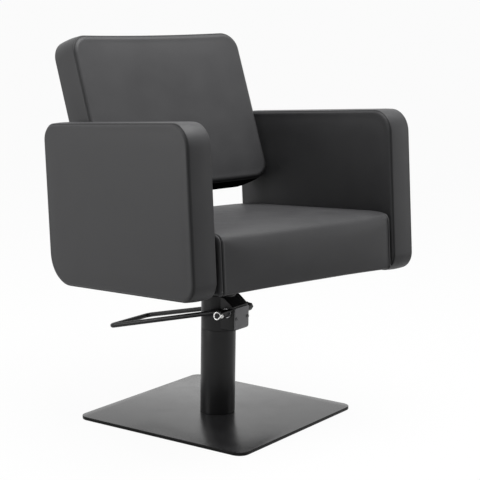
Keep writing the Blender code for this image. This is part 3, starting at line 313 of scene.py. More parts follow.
metalMarks = {"stretch": 0.06, "noise": (1.0, 4.0), "cloud": (60, 3.0), "bump": (0.06, 0.0001)}
zincLook = {"low": (0.70, 0.70, 0.69), "high": (0.82, 0.82, 0.80), "roughness": (0.24, 0.38), "lines": 900}
chromeLook = {"low": (0.78, 0.78, 0.80), "high": (0.84, 0.84, 0.85), "roughness": (0.05, 0.10), "lines": 700}
steelLook = {"low": (0.38, 0.38, 0.39), "high": (0.50, 0.50, 0.51), "roughness": (0.28, 0.42), "lines": 900}
darkSteelLook = {
    "low": (0.020, 0.020, 0.021),
    "high": (0.036, 0.036, 0.037),
    "roughness": (0.34, 0.48),
    "lines": 800,
}
rubberLook = {
    "low": (0.014, 0.014, 0.014),
    "high": (0.026, 0.026, 0.026),
    "roughness": (0.62, 0.8),
    "noise": (1400, 3.0),
    "bump": (0.15, 0.0001),
}
plywoodLook = {
    "low": (0.36, 0.24, 0.13),
    "high": (0.60, 0.45, 0.28),
    "roughness": (0.6, 0.75),
    "drawn": (30, 260, 260),
    "noise": (1.0, 5.0),
    "bump": (0.15, 0.0003),
}
liningLook = {
    "low": (0.014, 0.014, 0.014),
    "high": (0.04, 0.04, 0.04),
    "roughness": (0.85, 0.98),
    "fibres": (1900, 6.0),
    "points": 420,
    "pointBump": (0.2, 0.0003),
    "fibreBump": (0.2, 0.0002),
}


def newFinish(name):
    finish = bpy.data.materials.new(name)
    finish.use_nodes = True
    tree = finish.node_tree
    return finish, tree, tree.nodes["Principled BSDF"]


def feed(tree, source, node, socket):
    tree.links.new(source, node.inputs[socket])


def addNode(tree, kind, **values):
    node = tree.nodes.new("ShaderNode" + kind)
    for key, value in values.items():
        node.inputs[key.replace("_", " ")].default_value = value
    return node


def objectPlace(tree):
    return tree.nodes.new("ShaderNodeTexCoord").outputs["Object"]


def spread(tree, source, look):  # roughness by a pattern
    first, last = patternRange
    low, high = look["roughness"]
    node = addNode(tree, "MapRange", From_Min=first, From_Max=last, To_Min=low, To_Max=high)
    feed(tree, source, node, "Value")
    return node.outputs["Result"]


def tint(tree, source, look):  # colour by a pattern
    node = tree.nodes.new("ShaderNodeValToRGB")
    for element, position, key in zip(node.color_ramp.elements, patternRange, ("low", "high")):
        element.position = position
        element.color = (*look[key], 1)
    feed(tree, source, node, "Fac")
    return node.outputs["Color"]


def coat(tree, shader, source, look):
    feed(tree, tint(tree, source, look), shader, "Base Color")
    feed(tree, spread(tree, source, look), shader, "Roughness")


def bump(tree, source, strength, distance, before=None):
    node = addNode(tree, "Bump", Strength=strength, Distance=distance)
    feed(tree, source, node, "Height")
    if before:
        feed(tree, before, node, "Normal")
    return node.outputs["Normal"]


def noiseOf(tree, place, scale, detail):
    node = addNode(tree, "TexNoise", Scale=scale, Detail=detail, Roughness=0.55)
    feed(tree, place, node, "Vector")
    return node.outputs["Fac"]


def shadeBy(tree, shader, colour, look):  # painted shade: dark and dull where the mesh's attribute says so
    shade = look["shade"]
    amount = tree.nodes.new("ShaderNodeAttribute")
    amount.attribute_name = shade["attribute"]
    mixed = tree.nodes.new("ShaderNodeMix")
    mixed.data_type = "RGBA"
    mixed.inputs["B"].default_value = (*shade["colour"], 1)
    feed(tree, amount.outputs["Fac"], mixed, "Factor")
    feed(tree, colour, mixed, "A")
    feed(tree, mixed.outputs["Result"], shader, "Base Color")
    level = addNode(tree, "MapRange", To_Min=look["specular"], To_Max=shade["specular"])
    feed(tree, amount.outputs["Fac"], level, "Value")
    feed(tree, level.outputs["Result"], shader, "Specular IOR Level")


def vinylFinish(look):
    finish, tree, shader = newFinish("blackVinyl")
    place = objectPlace(tree)
    scale, detail = look["warp"]
    warp = addNode(tree, "TexNoise", Scale=scale, Detail=detail)
    feed(tree, place, warp, "Vector")
    bent = addNode(tree, "VectorMath")
    bent.operation = "MULTIPLY_ADD"
    bent.inputs[1].default_value = [look["warpReach"]] * 3
    feed(tree, warp.outputs["Color"], bent, 0)
    feed(tree, place, bent, 2)
    pebbles = tree.nodes.new("ShaderNodeTexVoronoi")
    pebbles.feature = "DISTANCE_TO_EDGE"
    pebbles.inputs["Scale"].default_value = look["grain"]
    feed(tree, bent.outputs["Vector"], pebbles, "Vector")
    crease = addNode(tree, "MapRange", From_Min=0.0, From_Max=look["crease"])
    crease.interpolation_type = "SMOOTHSTEP"
    feed(tree, pebbles.outputs["Distance"], crease, "Value")
    cloudy = noiseOf(tree, place, *look["cloud"])
    wavy = noiseOf(tree, place, *look["undulation"])
    fine = noiseOf(tree, place, *look["fine"])
    shadeBy(tree, shader, tint(tree, cloudy, look), look)
    feed(tree, spread(tree, cloudy, look), shader, "Roughness")
    shape = bump(tree, wavy, *look["waveBump"])
    shape = bump(tree, crease.outputs["Result"], *look["creaseBump"], shape)
    shape = bump(tree, fine, *look["fineBump"], shape)
    feed(tree, shape, shader, "Normal")
    return finish


def paintFinish(name, look):
    finish, tree, shader = newFinish(name)
    place = objectPlace(tree)
    cloudy = noiseOf(tree, place, *look["cloud"])
    peel = noiseOf(tree, place, *look["peel"])
    colour = tint(tree, cloudy, look)
    if "shade" in look:
        shadeBy(tree, shader, colour, look)
    else:
        feed(tree, colour, shader, "Base Color")
        shader.inputs["Specular IOR Level"].default_value = look["specular"]
    feed(tree, spread(tree, cloudy, look), shader, "Roughness")
    feed(tree, bump(tree, peel, *look["bump"]), shader, "Normal")
    return finish


def metalFinish(name, look):
    finish, tree, shader = newFinish(name)
    place = objectPlace(tree)
    lines = look["lines"]
    drawn = addNode(tree, "Mapping", Scale=(lines, lines, lines * metalMarks["stretch"]))
    feed(tree, place, drawn, "Vector")
    marks = noiseOf(tree, drawn.outputs["Vector"], *metalMarks["noise"])
    cloudy = noiseOf(tree, place, *metalMarks["cloud"])
    feed(tree, tint(tree, cloudy, look), shader, "Base Color")
    feed(tree, spread(tree, marks, look), shader, "Roughness")
    feed(tree, bump(tree, marks, *metalMarks["bump"]), shader, "Normal")
    shader.inputs["Metallic"].default_value = 1.0
    return finish


def rubberFinish(look):
    finish, tree, shader = newFinish("blackRubber")
    dull = noiseOf(tree, objectPlace(tree), *look["noise"])
    coat(tree, shader, dull, look)
    feed(tree, bump(tree, dull, *look["bump"]), shader, "Normal")
    return finish


def plywoodFinish(look):
    finish, tree, shader = newFinish("birchPlywood")
    drawn = addNode(tree, "Mapping", Scale=look["drawn"])
    feed(tree, objectPlace(tree), drawn, "Vector")
    grain = noiseOf(tree, drawn.outputs["Vector"], *look["noise"])
    coat(tree, shader, grain, look)
    feed(tree, bump(tree, grain, *look["bump"]), shader, "Normal")
    return finish


def liningFinish(look):
    finish, tree, shader = newFinish("blackLining")
    place = objectPlace(tree)
    fibres = noiseOf(tree, place, *look["fibres"])
    points = addNode(tree, "TexVoronoi", Scale=look["points"])
    feed(tree, place, points, "Vector")
    coat(tree, shader, fibres, look)
    shape = bump(tree, points.outputs["Distance"], *look["pointBump"])
    feed(tree, bump(tree, fibres, *look["fibreBump"], shape), shader, "Normal")
    return finish


blackVinyl = vinylFinish(vinylLook)
blackPaint = paintFinish("satinBlackPaint", paintLook)
platePaint = paintFinish("smoothBlackPaint", plateLook)
greyPaint = paintFinish("greyPaint", greyLook)
brightZinc = metalFinish("brightZinc", zincLook)
chrome = metalFinish("chromedSteel", chromeLook)
plainSteel = metalFinish("plainSteel", steelLook)
blackSteel = metalFinish("blackenedSteel", darkSteelLook)
blackRubber = rubberFinish(rubberLook)
plywood = plywoodFinish(plywoodLook)
blackLining = liningFinish(liningLook)

nodeFinishes = {
    "black_vinyl": blackVinyl,
    "satin_black_paint": blackPaint,
    "grey_paint": greyPaint,
    "bright_zinc": brightZinc,
    "chromed_steel": chrome,
    "plain_steel": plainSteel,
    "black_rubber": blackRubber,
    "plywood": plywood,
    "black_lining": blackLining,
}
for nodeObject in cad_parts.values():
    for place in nodeObject.material_slots:
        for slotName, finish in nodeFinishes.items():
            if place.material and place.material.name.startswith(slotName):
                place.material = finish
                break
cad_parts["pedal_shaft"].material_slots[0].material = blackSteel  # dark in the ring of the spring
print("finishes made")


# floor, world and lamps

studio = {
    "floorSize": 240.0,
    "floorLevel": -0.0004,
    "floorTone": 0.52,
    "floorRoughness": 0.95,
    "floorGlow": 0.96,  # share of plain white where the camera or a reflection sees the floor
    "worldLight": 0.18,
    "aim": (0, 0, 0.45),
    "lamps": {
        "key": {"at": (-1.6, 0.6, 0.85), "power": 18, "size": 0.9},
        "front": {"at": (1.2, -0.95, 0.7), "power": 3.4, "size": 0.6},
        "top": {"at": (0.2, -0.40, 2.9), "power": 165, "size": 2.0},
    },
}


def seenRays(tree):  # 1 where the camera, a reflection or glass looks
    rays = tree.nodes.new("ShaderNodeLightPath")
    seen = rays.outputs["Is Camera Ray"]
    for kind in ("Is Glossy Ray", "Is Transmission Ray"):
        either = addNode(tree, "Math")
        either.operation = "MAXIMUM"
        feed(tree, seen, either, 0)
        feed(tree, rays.outputs[kind], either, 1)
        seen = either.outputs["Value"]
    return seen


def makeStudio(s):
    pickNone()
    bpy.ops.mesh.primitive_plane_add(size=s["floorSize"], location=(0, 0, s["floorLevel"]))
    floor = named(bpy.context.object, "studioFloor")
    applyPlace()
    finish, tree, shader = newFinish("studioWhite")
    tone = s["floorTone"]
    shader.inputs["Base Color"].default_value = (tone, tone, tone, 1)
    shader.inputs["Roughness"].default_value = s["floorRoughness"]
    shader.inputs["Specular IOR Level"].default_value = 0.0
    glow = addNode(tree, "Emission", Color=(1, 1, 1, 1), Strength=1.0)
    share = addNode(tree, "Math")
    share.operation = "MULTIPLY"
    share.inputs[1].default_value = s["floorGlow"]
    feed(tree, seenRays(tree), share, 0)
    mix = tree.nodes.new("ShaderNodeMixShader")
    feed(tree, share.outputs["Value"], mix, "Fac")
    feed(tree, shader.outputs["BSDF"], mix, 1)
    feed(tree, glow.outputs["Emission"], mix, 2)
    tree.links.new(mix.outputs["Shader"], tree.nodes["Material Output"].inputs["Surface"])
    floor.data.materials.append(finish)
    world = bpy.data.worlds.new("studioWorld")
    world.use_nodes = True
    scene.world = world
    tree = world.node_tree
    background = tree.nodes["Background"]
    background.inputs["Color"].default_value = (1, 1, 1, 1)
    level = addNode(tree, "MapRange", To_Min=s["worldLight"], To_Max=1.0)
    feed(tree, seenRays(tree), level, "Value")
    feed(tree, level.outputs["Result"], background, "Strength")
    for name, lamp in s["lamps"].items():
        bpy.ops.object.light_add(type="AREA", location=lamp["at"])
        light = bpy.context.object
        light.name = name + "Lamp"
        light.data.energy = lamp["power"]
        light.data.size = lamp["size"]
        toward = Vector(s["aim"]) - Vector(lamp["at"])
        light.rotation_euler = toward.to_track_quat("-Z", "Y").to_euler()


makeStudio(studio)
print("studio set")


# base: plate, column, pump head

floorPlate = {
    "side": 0.455,
    "thickness": 0.008,
    "corner": 0.025,
    "edge": 0.0010,
    "foot": 0.0022,
    "rim": 0.0001,  # what lies lower than this under the top counts as rim
}
footHole = {"count": 4, "circle": 0.024, "shank": 0.0043, "head": 0.0078, "sink": 0.0008}
column = {"radius": 0.0400, "bore": 0.036, "bottom": 0.0083, "top": 0.205, "edge": 0.0008}
pumpHead = {
    "radius": 0.0400,
    "bottom": 0.2053,
    "top": 0.288,
    "topEdge": 0.004,
    "boxHalf": 0.030,
    "boxFace": 0.0617,
    "boxBottom": 0.209,
    "shoulder": 0.265,
    "roofTop": 0.2845,
    "roofSlope": 38,
    "boxEdge": 0.003,
    "boxEdgeFrom": -0.02,  # edges in front of this are rounded
    "bore": 0.0233,
    "shaftHole": 0.0073,
    "camRoom": {"half": 0.014, "back": 0.0255, "low": 0.220, "high": 0.262},
    "barrelSeat": {"radius": 0.0061, "reach": 0.0295, "rise": 0.001},  # it opens into the cam's room
    "postHole": {"radius": 0.0028, "end": -0.0217, "y": -0.05795, "z": 0.25764},
}
boxCover = {
    "half": 0.027,
    "face": 0.065,
    "rear": 0.062,
    "bottom": 0.212,
    "top": 0.262,
    "corner": 0.004,
    "edge": 0.0007,
}
coverScrew = {
    "radius": 0.0038,
    "height": 0.0018,
    "edge": 0.0006,
    "slot": 0.0009,
    "slotDepth": 0.0011,
    "slotReach": 0.72,  # share of the head's radius
    "shank": 0.002,
    "length": 0.0097,
    "lap": 0.0003,  # how far the shank runs into the head
    "hole": 0.0023,
    "holeRoom": 0.0003,
    "lift": 0.0002,
    "spread": 0.022,
    "level": 0.237,
    "twist": 0.4,
}


def makeFloorPlate(s, hole):
    half = s["side"] / 2
    low = (-half, -half, 0)
    high = (half, half, s["thickness"])
    plate = addBox("floorPlate", low, high)
    roundCorners(plate, low, high, (0, 1), s["corner"], 12)
    roundEdges(plate, edgeAt(z=s["thickness"]), s["edge"], 3)
    roundEdges(plate, edgeAt(z=0), s["foot"], 3)
    deep = hole["head"] - hole["shank"]
    narrower = [hole["shank"] / hole["head"]] * 3
    for number in range(hole["count"]):  # countersunk from below
        turn = 2 * math.pi * (number + 0.5) / hole["count"]
        cutter = addRound("footHole", hole["head"], -deep, hole["sink"], 48)
        choose(cutter, "polygons", facesUp)
        push(Vector((0, 0, deep)))
        bpy.ops.transform.resize(value=narrower, center_override=(0, 0, hole["sink"] + deep))
        push(Vector((0, 0, s["thickness"])))
        leave()
        at = (hole["circle"] * math.cos(turn), hole["circle"] * math.sin(turn), 0)
        settle(cutter, shifted(at))
        carve(plate, cutter)
    # painted shade on the plate's rim
    darken(plate, "rimShade", coords(plate)[:, 2] < s["thickness"] - s["rim"])
    settle(plate, baseAxes)
    smooth(plate)
    finishPiece(plate, platePaint, "satin_black_paint", "base", "base_plate")


def makeColumn(s):
    tube = addRound("columnTube", s["radius"], s["bottom"], s["top"], 128, s["edge"])
    carve(tube, addRound("columnBore", s["bore"], 0, cutterTop, 128))
    smooth(tube)
    finishPiece(tube, blackPaint, "satin_black_paint", "base", "column_tube")


def coverScrewAxes(cover, screw, side):  # Z points out of the cover's face
    return shifted((side * screw["spread"], -cover["face"], screw["level"])) @ turned(90, "X")


def screwHole(cover, screw, side):
    hole = addRound("screwHole", screw["hole"], -screw["length"] - screw["holeRoom"], overcut, 32)
    settle(hole, coverScrewAxes(cover, screw, side))
    return hole


def makePumpHead(s, cover, screw):
    head = addRound("pumpHead", s["radius"], s["bottom"], s["top"], 128)
    roundEdges(head, edgeAt(z=s["top"]), s["topEdge"], 4)
    half = s["boxHalf"]
    face = s["boxFace"]
    box = addBox("pumpBox", (-half, -face, s["boxBottom"]), (half, 0, s["roofTop"]))
    slope = math.radians(s["roofSlope"])
    chooseAll(box)
    bpy.ops.mesh.bisect(
        plane_co=(0, -face, s["shoulder"]),
        plane_no=(0, -math.sin(slope), math.cos(slope)),
        use_fill=True,
        clear_outer=True,
    )
    leave()

    def towardFront(mesh, edge):
        return min(end.y for end in ends(mesh, edge)) < s["boxEdgeFrom"]

    roundEdges(box, towardFront, s["boxEdge"], 4)
    combine(head, box, "UNION")
    carve(head, addRound("headBore", s["bore"], 0, cutterTop, 128))
    room = s["camRoom"]
    roomLow = (-room["half"], -face - overcut, room["low"])
    carve(head, addBox("camRoom", roomLow, (room["half"], -room["back"], room["high"])))
    barrel = s["barrelSeat"]
    seatTop = room["low"] + barrel["rise"]
    seat = addRound("barrelSeat", barrel["radius"], s["boxBottom"] - overcut, seatTop, 48)
    settle(seat, shifted((0, -barrel["reach"], 0)))
    carve(head, seat)
    hole = addRound("shaftHole", s["shaftHole"], -cutterSide, cutterSide, 48)
    settle(hole, shaftAxes @ alongX)
    carve(head, hole)
    post = s["postHole"]
    hole = addRound("postHole", post["radius"], -cutterSide, post["end"], 32)
    settle(hole, shifted((0, post["y"], post["z"])) @ alongX)
    carve(head, hole)
    for side in (-1, 1):
        carve(head, screwHole(cover, screw, side))
    settle(head, baseAxes)
    smooth(head)
    finishPiece(head, blackPaint, "satin_black_paint", "base", "pump_head")


makeFloorPlate(floorPlate, footHole)
makeColumn(column)
makePumpHead(pumpHead, boxCover, coverScrew)
print("plate, column and pump head made")

glandRing = {
    "radius": 0.031,
    "bottom": 0.2883,
    "top": 0.2933,
    "edge": 0.0008,
    "sleeve": 0.023,
    "sleeveBottom": 0.2623,
    "sleeveTop": 0.2913,
    "hole": 0.0155,
    "recess": 0.0198,  # room for the wiper seal
    "recessFloor": 0.2873,
    "notches": 4,
    "notchCircle": 0.0265,
    "notchRadius": 0.0026,
    "notchFloor": 0.0015,  # what the notches leave of the flange
}
ramRod = {
    "radius": 0.015,
    "bottom": 0.0550,
    "taperBottom": 0.297,
    "top": 0.327,
    "taper": 2,
    "edge": 0.001,
    "pinHole": 0.0055,
    "pinTop": 0.0639,
}


def makeCover(s, screw):
    low = (-s["half"], -s["face"], s["bottom"])
    high = (s["half"], -s["rear"], s["top"])
    cover = addBox("boxCover", low, high)
    roundCorners(cover, low, high, (0, 2), s["corner"], 6)
    roundEdges(cover, edgeAt(y=-s["face"]), s["edge"], 3)
    for side in (-1, 1):
        carve(cover, screwHole(s, screw, side))
    settle(cover, baseAxes)
    smooth(cover)
    finishPiece(cover, greyPaint, "grey_paint", "base", "head_cover")


def makeCoverScrews(s, cover):
    reach = s["radius"] * s["slotReach"]
    floor = s["height"] - s["slotDepth"]
    thin = s["slot"] / 2
    for number, side in ((1, -1), (2, 1)):
        screw = addRound(f"coverScrew{number}", s["radius"], 0, s["height"], 40, s["edge"])
        combine(screw, addRound("screwShank", s["shank"], -s["length"], s["lap"], 32), "UNION")
        carve(screw, addBox("slotA", (-reach, -thin, floor), (reach, thin, overcut)))
        carve(screw, addBox("slotB", (-thin, -reach, floor), (thin, reach, overcut)))
        lies = coverScrewAxes(cover, s, side) @ shifted((0, 0, s["lift"]))
        settle(screw, baseAxes @ lies @ Matrix.Rotation(s["twist"] * number, 4, "Z"))
        smooth(screw)
        finishPiece(screw, greyPaint, "grey_paint", "base", f"cover_screw_{number}")


def makeGland(s):
    ring = addRound("glandRing", s["radius"], s["bottom"], s["top"], 96, s["edge"])
    combine(ring, addRound("glandSleeve", s["sleeve"], s["sleeveBottom"], s["sleeveTop"], 96), "UNION")
    carve(ring, addRound("glandHole", s["hole"], 0, cutterTop, 96))
    carve(ring, addRound("sealRecess", s["recess"], s["recessFloor"], cutterTop, 96))
    for number in range(s["notches"]):
        notch = addRound("notch", s["notchRadius"], s["bottom"] + s["notchFloor"], cutterTop, 24)
        turn = Matrix.Rotation(2 * math.pi * number / s["notches"], 4, "Z")
        settle(notch, turn @ shifted((s["notchCircle"], 0, 0)))
        carve(ring, notch)
    smooth(ring)
    finishPiece(ring, blackPaint, "satin_black_paint", "base", "gland_nut")


def makeRam(s):
    rod = addRound("ramRod", s["radius"], s["bottom"], s["taperBottom"], 96)
    roundEdges(rod, edgeAt(z=s["bottom"]), s["edge"], 3)
    choose(rod, "polygons", facesUp)
    rise = s["top"] - s["taperBottom"]
    push(Vector((0, 0, rise)))
    thinner = 1 - rise * math.tan(math.radians(s["taper"])) / s["radius"]
    bpy.ops.transform.resize(value=[thinner] * 3, center_override=(0, 0, s["top"]))
    leave()
    roundEdges(rod, edgeAt(z=s["top"]), s["edge"], 3)
    carve(rod, addRound("pinHole", s["pinHole"], 0, s["pinTop"], 48))
    smooth(rod)
    finishPiece(rod, chrome, "chromed_steel", "chair", "ram")


makeCover(boxCover, coverScrew)
makeCoverScrews(coverScrew, boxCover)
makeGland(glandRing)
makeRam(ramRod)
print("cover, gland and ram made")

# pedal: a bent bar on two hubs, with its spring and nut

pedal = {
    "barRadius": 0.0055,
    "rootHalf": 0.049,
    "endHalf": 0.073,
    "length": 0.308,
    "slope": 13.7,
    "lift": 0.007,
    "bend": 0.014,
    "hubRadius": 0.0095,
    "hubInner": 0.035,
    "hubOuter": 0.056,
    "hubEdge": 0.0008,
    "bore": 0.0073,
    "barSteps": 28,
    "bendSteps": 14,
}
returnSpring = {
    "radius": 0.0078,
    "wire": 0.0021,
    "turns": 3,
    "pitch": 0.0042,
    "start": 0.0581,
    "hook": 0.010,
    "hookReach": 0.0155,  # where the hook lies under the pedal's bar
    "clear": 0.0003,
    "leg": 0.0165,
    "rise": 45,
    "perTurn": 40,
    "roundness": 4,
}
shaftNut = {"radius": 0.0088, "low": 0.0563, "high": 0.0608, "edge": 0.0006, "hole": 0.0053}


def makePedal(s):
    slope = math.radians(s["slope"])
    run = s["length"] / math.cos(slope)
    splay = math.atan2(s["endHalf"] - s["rootHalf"], run)
    turn = math.pi / 2 + splay
    cut = s["bend"] * math.tan(turn / 2)
    leg = math.hypot(run, s["endHalf"] - s["rootHalf"]) - cut
    onward = Vector((-math.sin(splay), math.cos(splay), 0))
    aside = Vector((math.cos(splay), math.sin(splay), 0))
    start = Vector((-s["rootHalf"], 0, 0))
    pickNone()
    bpy.ops.mesh.primitive_circle_add(vertices=s["barSteps"], radius=s["barRadius"], fill_type="NOTHING")
    bar = named(bpy.context.object, "pedalBar")
    settle(bar, shifted(start) @ onward.to_track_quat("Z", "X").to_matrix().to_4x4())
    chooseAll(bar)
    push(onward * leg)
    bendEnd = start + onward * leg + aside * s["bend"]
    bend = {"steps": s["bendSteps"], "angle": turn, "axis": (0, 0, 1)}
    bpy.ops.mesh.spin(center=bendEnd, **bend)
    push(Vector((2 * s["endHalf"] - 2 * cut, 0, 0)))
    bpy.ops.mesh.spin(center=(-bendEnd.x, bendEnd.y, 0), **bend)
    push(Vector((onward.x, -onward.y, 0)) * leg)
    bpy.ops.mesh.select_all(action="SELECT")
    bpy.ops.mesh.remove_doubles(threshold=weldReach)
    bpy.ops.mesh.select_all(action="DESELECT")
    bpy.ops.mesh.select_non_manifold()
    bpy.ops.mesh.fill_holes(sides=0)
    bpy.ops.mesh.select_all(action="SELECT")
    bpy.ops.mesh.normals_make_consistent(inside=False)
    leave()
    settle(bar, shifted((0, 0, s["lift"])) @ Matrix.Rotation(-slope, 4, "X"))
    for side in (-1, 1):
        hub = addRound("pedalHub", s["hubRadius"], s["hubInner"], s["hubOuter"], 64, s["hubEdge"])
        settle(hub, turned(side * 90, "Y"))
        combine(bar, hub, "UNION")
    bore = addRound("pedalBore", s["bore"], -cutterSide, cutterSide, 64)
    settle(bore, alongX)
    carve(bar, bore)
    settle(bar, pedalAxes)
    smooth(bar)
    finishPiece(bar, blackPaint, "satin_black_paint", "pedal", "pedal_bar")


def makeSpring(s, bar):
    slope = math.radians(bar["slope"])
    radius = s["radius"]
    sweep = 2 * math.pi * s["turns"] + math.radians(s["rise"])
    reach = s["hookReach"]
    under = (bar["barRadius"] + s["wire"] + s["clear"]) / math.cos(slope)
    level = bar["lift"] - reach * math.tan(slope) - under
    first = math.atan2(level, reach) - math.acos(radius / math.hypot(reach, level))
    last = -math.pi / 2 - sweep
    x = -s["start"]
    points = [(x + s["hook"], reach, level), (x, reach, level)]
    count = round(s["perTurn"] * (first - last) / (2 * math.pi))
    for k in range(count + 1):
        turn = (first - last) * k / count
        across = first - turn
        along = x - s["pitch"] * turn / (2 * math.pi)
        points.append((along, radius * math.cos(across), radius * math.sin(across)))
    tail = points[-1]
    leg = s["leg"]
    points.append((tail[0], tail[1] + leg * math.sin(last), tail[2] - leg * math.cos(last)))
    wire = bpy.data.curves.new("returnSpring", "CURVE")
    wire.dimensions = "3D"
    wire.bevel_depth = s["wire"]
    wire.bevel_resolution = s["roundness"]
    wire.use_fill_caps = True
    line = wire.splines.new("POLY")
    line.points.add(len(points) - 1)
    for spot, at in zip(line.points, points):
        spot.co = (*at, 1)
    spring = bpy.data.objects.new("returnSpring", wire)
    scene.collection.objects.link(spring)
    pickOnly(spring)
    bpy.ops.object.convert(target="MESH")
    spring = named(bpy.context.object, "returnSpring")
    chooseAll(spring)
    bpy.ops.mesh.remove_doubles(threshold=weldReach)
    bpy.ops.mesh.normals_make_consistent(inside=False)
    leave()
    settle(spring, pedalAxes)
    smooth(spring, 50)
    spring.data.materials.clear()
    spring.data.materials.append(brightZinc)
    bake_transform(spring)
    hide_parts("return_spring")


def makeNut(s):
    nut = addRound("shaftNut", s["radius"], s["low"], s["high"], 6, s["edge"], 2)
    carve(nut, addRound("nutHole", s["hole"], 0, cutterSide, 48))
    settle(nut, pedalAxes @ alongX)
    smooth(nut, 25)
    finishPiece(nut, blackPaint, "satin_black_paint", "pedal", "shaft_nut")


makePedal(pedal)
makeSpring(returnSpring, pedal)
makeNut(shaftNut)
print("pedal, spring and nut made")


# upholstery: each pad is shaped flat in its own axes, swelled as cloth, sewn, then put in place

armPad = {
    "inner": 0.2513,
    "outer": 0.3162,
    "front": -0.309,
    "rear": 0.2142,
    "low": -0.0100,
    "high": 0.3520,
    "frontTop": 0.050,
    "rearTop": 0.038,
    "rearLow": 0.070,
    "frontLow": 0.040,
    "swell": 0.0012,
    "bandSwell": 0.0012,
    "panelRolls": (0.006, 0.0068),  # inner and outer panel: the edge rolls to the seam on this radius
    "bandRoll": 0.003,
    "margin": 0.018,
    "outerRoom": 0.0005,  # left for the outer panel to swell
    "fill": 0.95,
}
seatPad = {
    "half": 0.2465,
    "front": -0.307,
    "rear": 0.200,
    "low": 0.0003,
    "high": 0.128,
    "frontTop": 0.011,
    "nose": 0.007,  # how far the top falls to the front, and over what depth
    "noseDepth": 0.050,
    "rearTop": 0.018,
    "hem": 0.005,
    "tuck": 0.010,  # the cover is drawn tight over this much of the frame's lower edges
    "tuckShare": 0.8,
    "droop": 0.0027,  # the front hem hangs lower at its ends
    "droopStart": -0.294,
    "droopFade": 0.006,
    "droopHeight": 0.05,
    "edge": 0.005,
    "room": {"side": 0.001, "front": 0.0005, "rear": 0.0015, "top": 0.0018},  # left for the swell
    "rearReach": 0.002,  # how far it may bulge to the rear
    "sewnFrom": 0.0006,
    "rim": 0.010,
    "sewnBelow": 0.012,
    "voxel": 0.007,
    "swell": 0.007,
    "seamInset": 0.0090,
    "fill": 0.9,
}
backPad = {
    "half": 0.242,
    "thickness": 0.0895,
    "height": 0.367,
    "corner": 0.042,
    "bend": 0.012,
    "topRise": 0.012,
    "risePower": 4,
    "swell": 0.0045,
    "bandSwell": 0.0015,
    "frontRoom": 0.0005,
    "sag": 0.003,
    "undersideShade": 1.0,  # painted shade: how dark and dull the side over the seat is made
    "undersideFrom": 0.75,  # how far a face looks down where that begins, and over what share it grows
    "undersideFade": 0.2,
    "panelRolls": (0.010, 0.007),  # front and rear
    "bandRoll": 0.004,
    "margin": 0.018,
    "fill": 0.9,
}
rearPanel = {
    "half": 0.2305,
    "low": 0.0115,
    "high": 0.3555,
    "front": 0.0805,
    "rear": 0.0872,
    "corner": 0.031,
    "edge": 0.004,
    "gap": 0.0009,
    "floorGap": 0.0004,
    "recessReach": 0.05,  # the recess's cutter goes this far past the back
    "voxel": 0.005,
    "swell": 0.0018,
    "pressure": 2.0,
    "loose": 0.0035,  # depth of the part that may swell
    "fill": 0.8,
}
swelling = {"frames": 20, "pressure": 4.0}
sewing = {
    "panelTurn": 66,  # how far the two folds turn into the seam
    "bandTurn": 80,
    # painted shade along the seams: how far it reaches and how dark it is
    "thread": 0.0020,
    "shade": 0.5,
    "loops": (0.08, 0.18, 0.30, 0.44, 0.60, 0.80, 1.0),
    "bandCuts": (0.3, 0.4, 0.5, 0.6, 0.7),
    "cell": 0.009,
    "cornerSteps": 14,
    "heldPast": 0.002,  # the cloth is held this far inside the margin
    "panelFrom": 0.0003,  # a point deeper than this lies on a panel
    "slack": 0.0001,
}
seamShape = {  # places and widths are shares of the seam's width
    "width": 0.0032,
    "depth": 0.0026,
    "lip": 0.0009,
    "cuts": (-1.7, -1.1, -0.55, 0, 0.55, 1.1, 1.7),
    "lipAt": 1.1,
    "lipWidth": 0.45,
    "grooveWidth": 0.4,
    "shadeWidth": 0.35,
    "end": 2.2,
    "facing": 0.35,  # the seam fades on faces that lie in its plane
}


def cutAt(axis, at, snap=0.0002):  # cuts what is selected
    through = [0, 0, 0]
    normal = [0, 0, 0]
    through[axis] = at
    normal[axis] = 1
    bpy.ops.mesh.bisect(plane_co=through, plane_no=normal, threshold=snap)


def cutAll(piece, axis, places):
    for at in places:
        chooseAll(piece)
        cutAt(axis, at)
        leave()


def fineGrid(piece, voxel):  # even quads for the cloth
    pickOnly(piece)
    piece.data.remesh_voxel_size = voxel
    bpy.ops.object.voxel_remesh()
    chooseAll(piece)
    bpy.ops.mesh.vertices_smooth(factor=0.5, repeat=2)
    leave()


def swellPad(piece, sewn, cap, pressure=swelling["pressure"]):  # the sewn points stay where they are
    rest = coords(piece)
    group = piece.vertex_groups.new(name="sewn")
    group.add([int(i) for i in np.flatnonzero(sewn)], 1.0, "REPLACE")
    cloth = piece.modifiers.new("swell", "CLOTH")
    cloth.settings.use_pressure = True
    cloth.settings.uniform_pressure_force = pressure
    cloth.settings.effector_weights.gravity = 0
    cloth.settings.vertex_group_mass = "sewn"
    cloth.point_cache.frame_start = 1
    cloth.point_cache.frame_end = swelling["frames"]
    for step in range(1, swelling["frames"] + 1):
        scene.frame_set(step)
    pickOnly(piece)
    bpy.ops.object.modifier_apply(modifier=cloth.name)
    scene.frame_set(1)
    moved = coords(piece) - rest
    far = np.maximum(np.linalg.norm(moved, axis=1), tiny)
    print(piece.name, "swells by up to", round(float(far.max()) * 1000, 1), "mm before the cap")
    setCoords(piece, rest + moved * (cap * np.tanh(far / cap) / far)[:, None])
    piece.vertex_groups.clear()


def finer(piece):
    pickOnly(piece)
    split = piece.modifiers.new("finer", "SUBSURF")
    split.levels = 1
    split.render_levels = 1
    bpy.ops.object.modifier_apply(modifier=split.name)


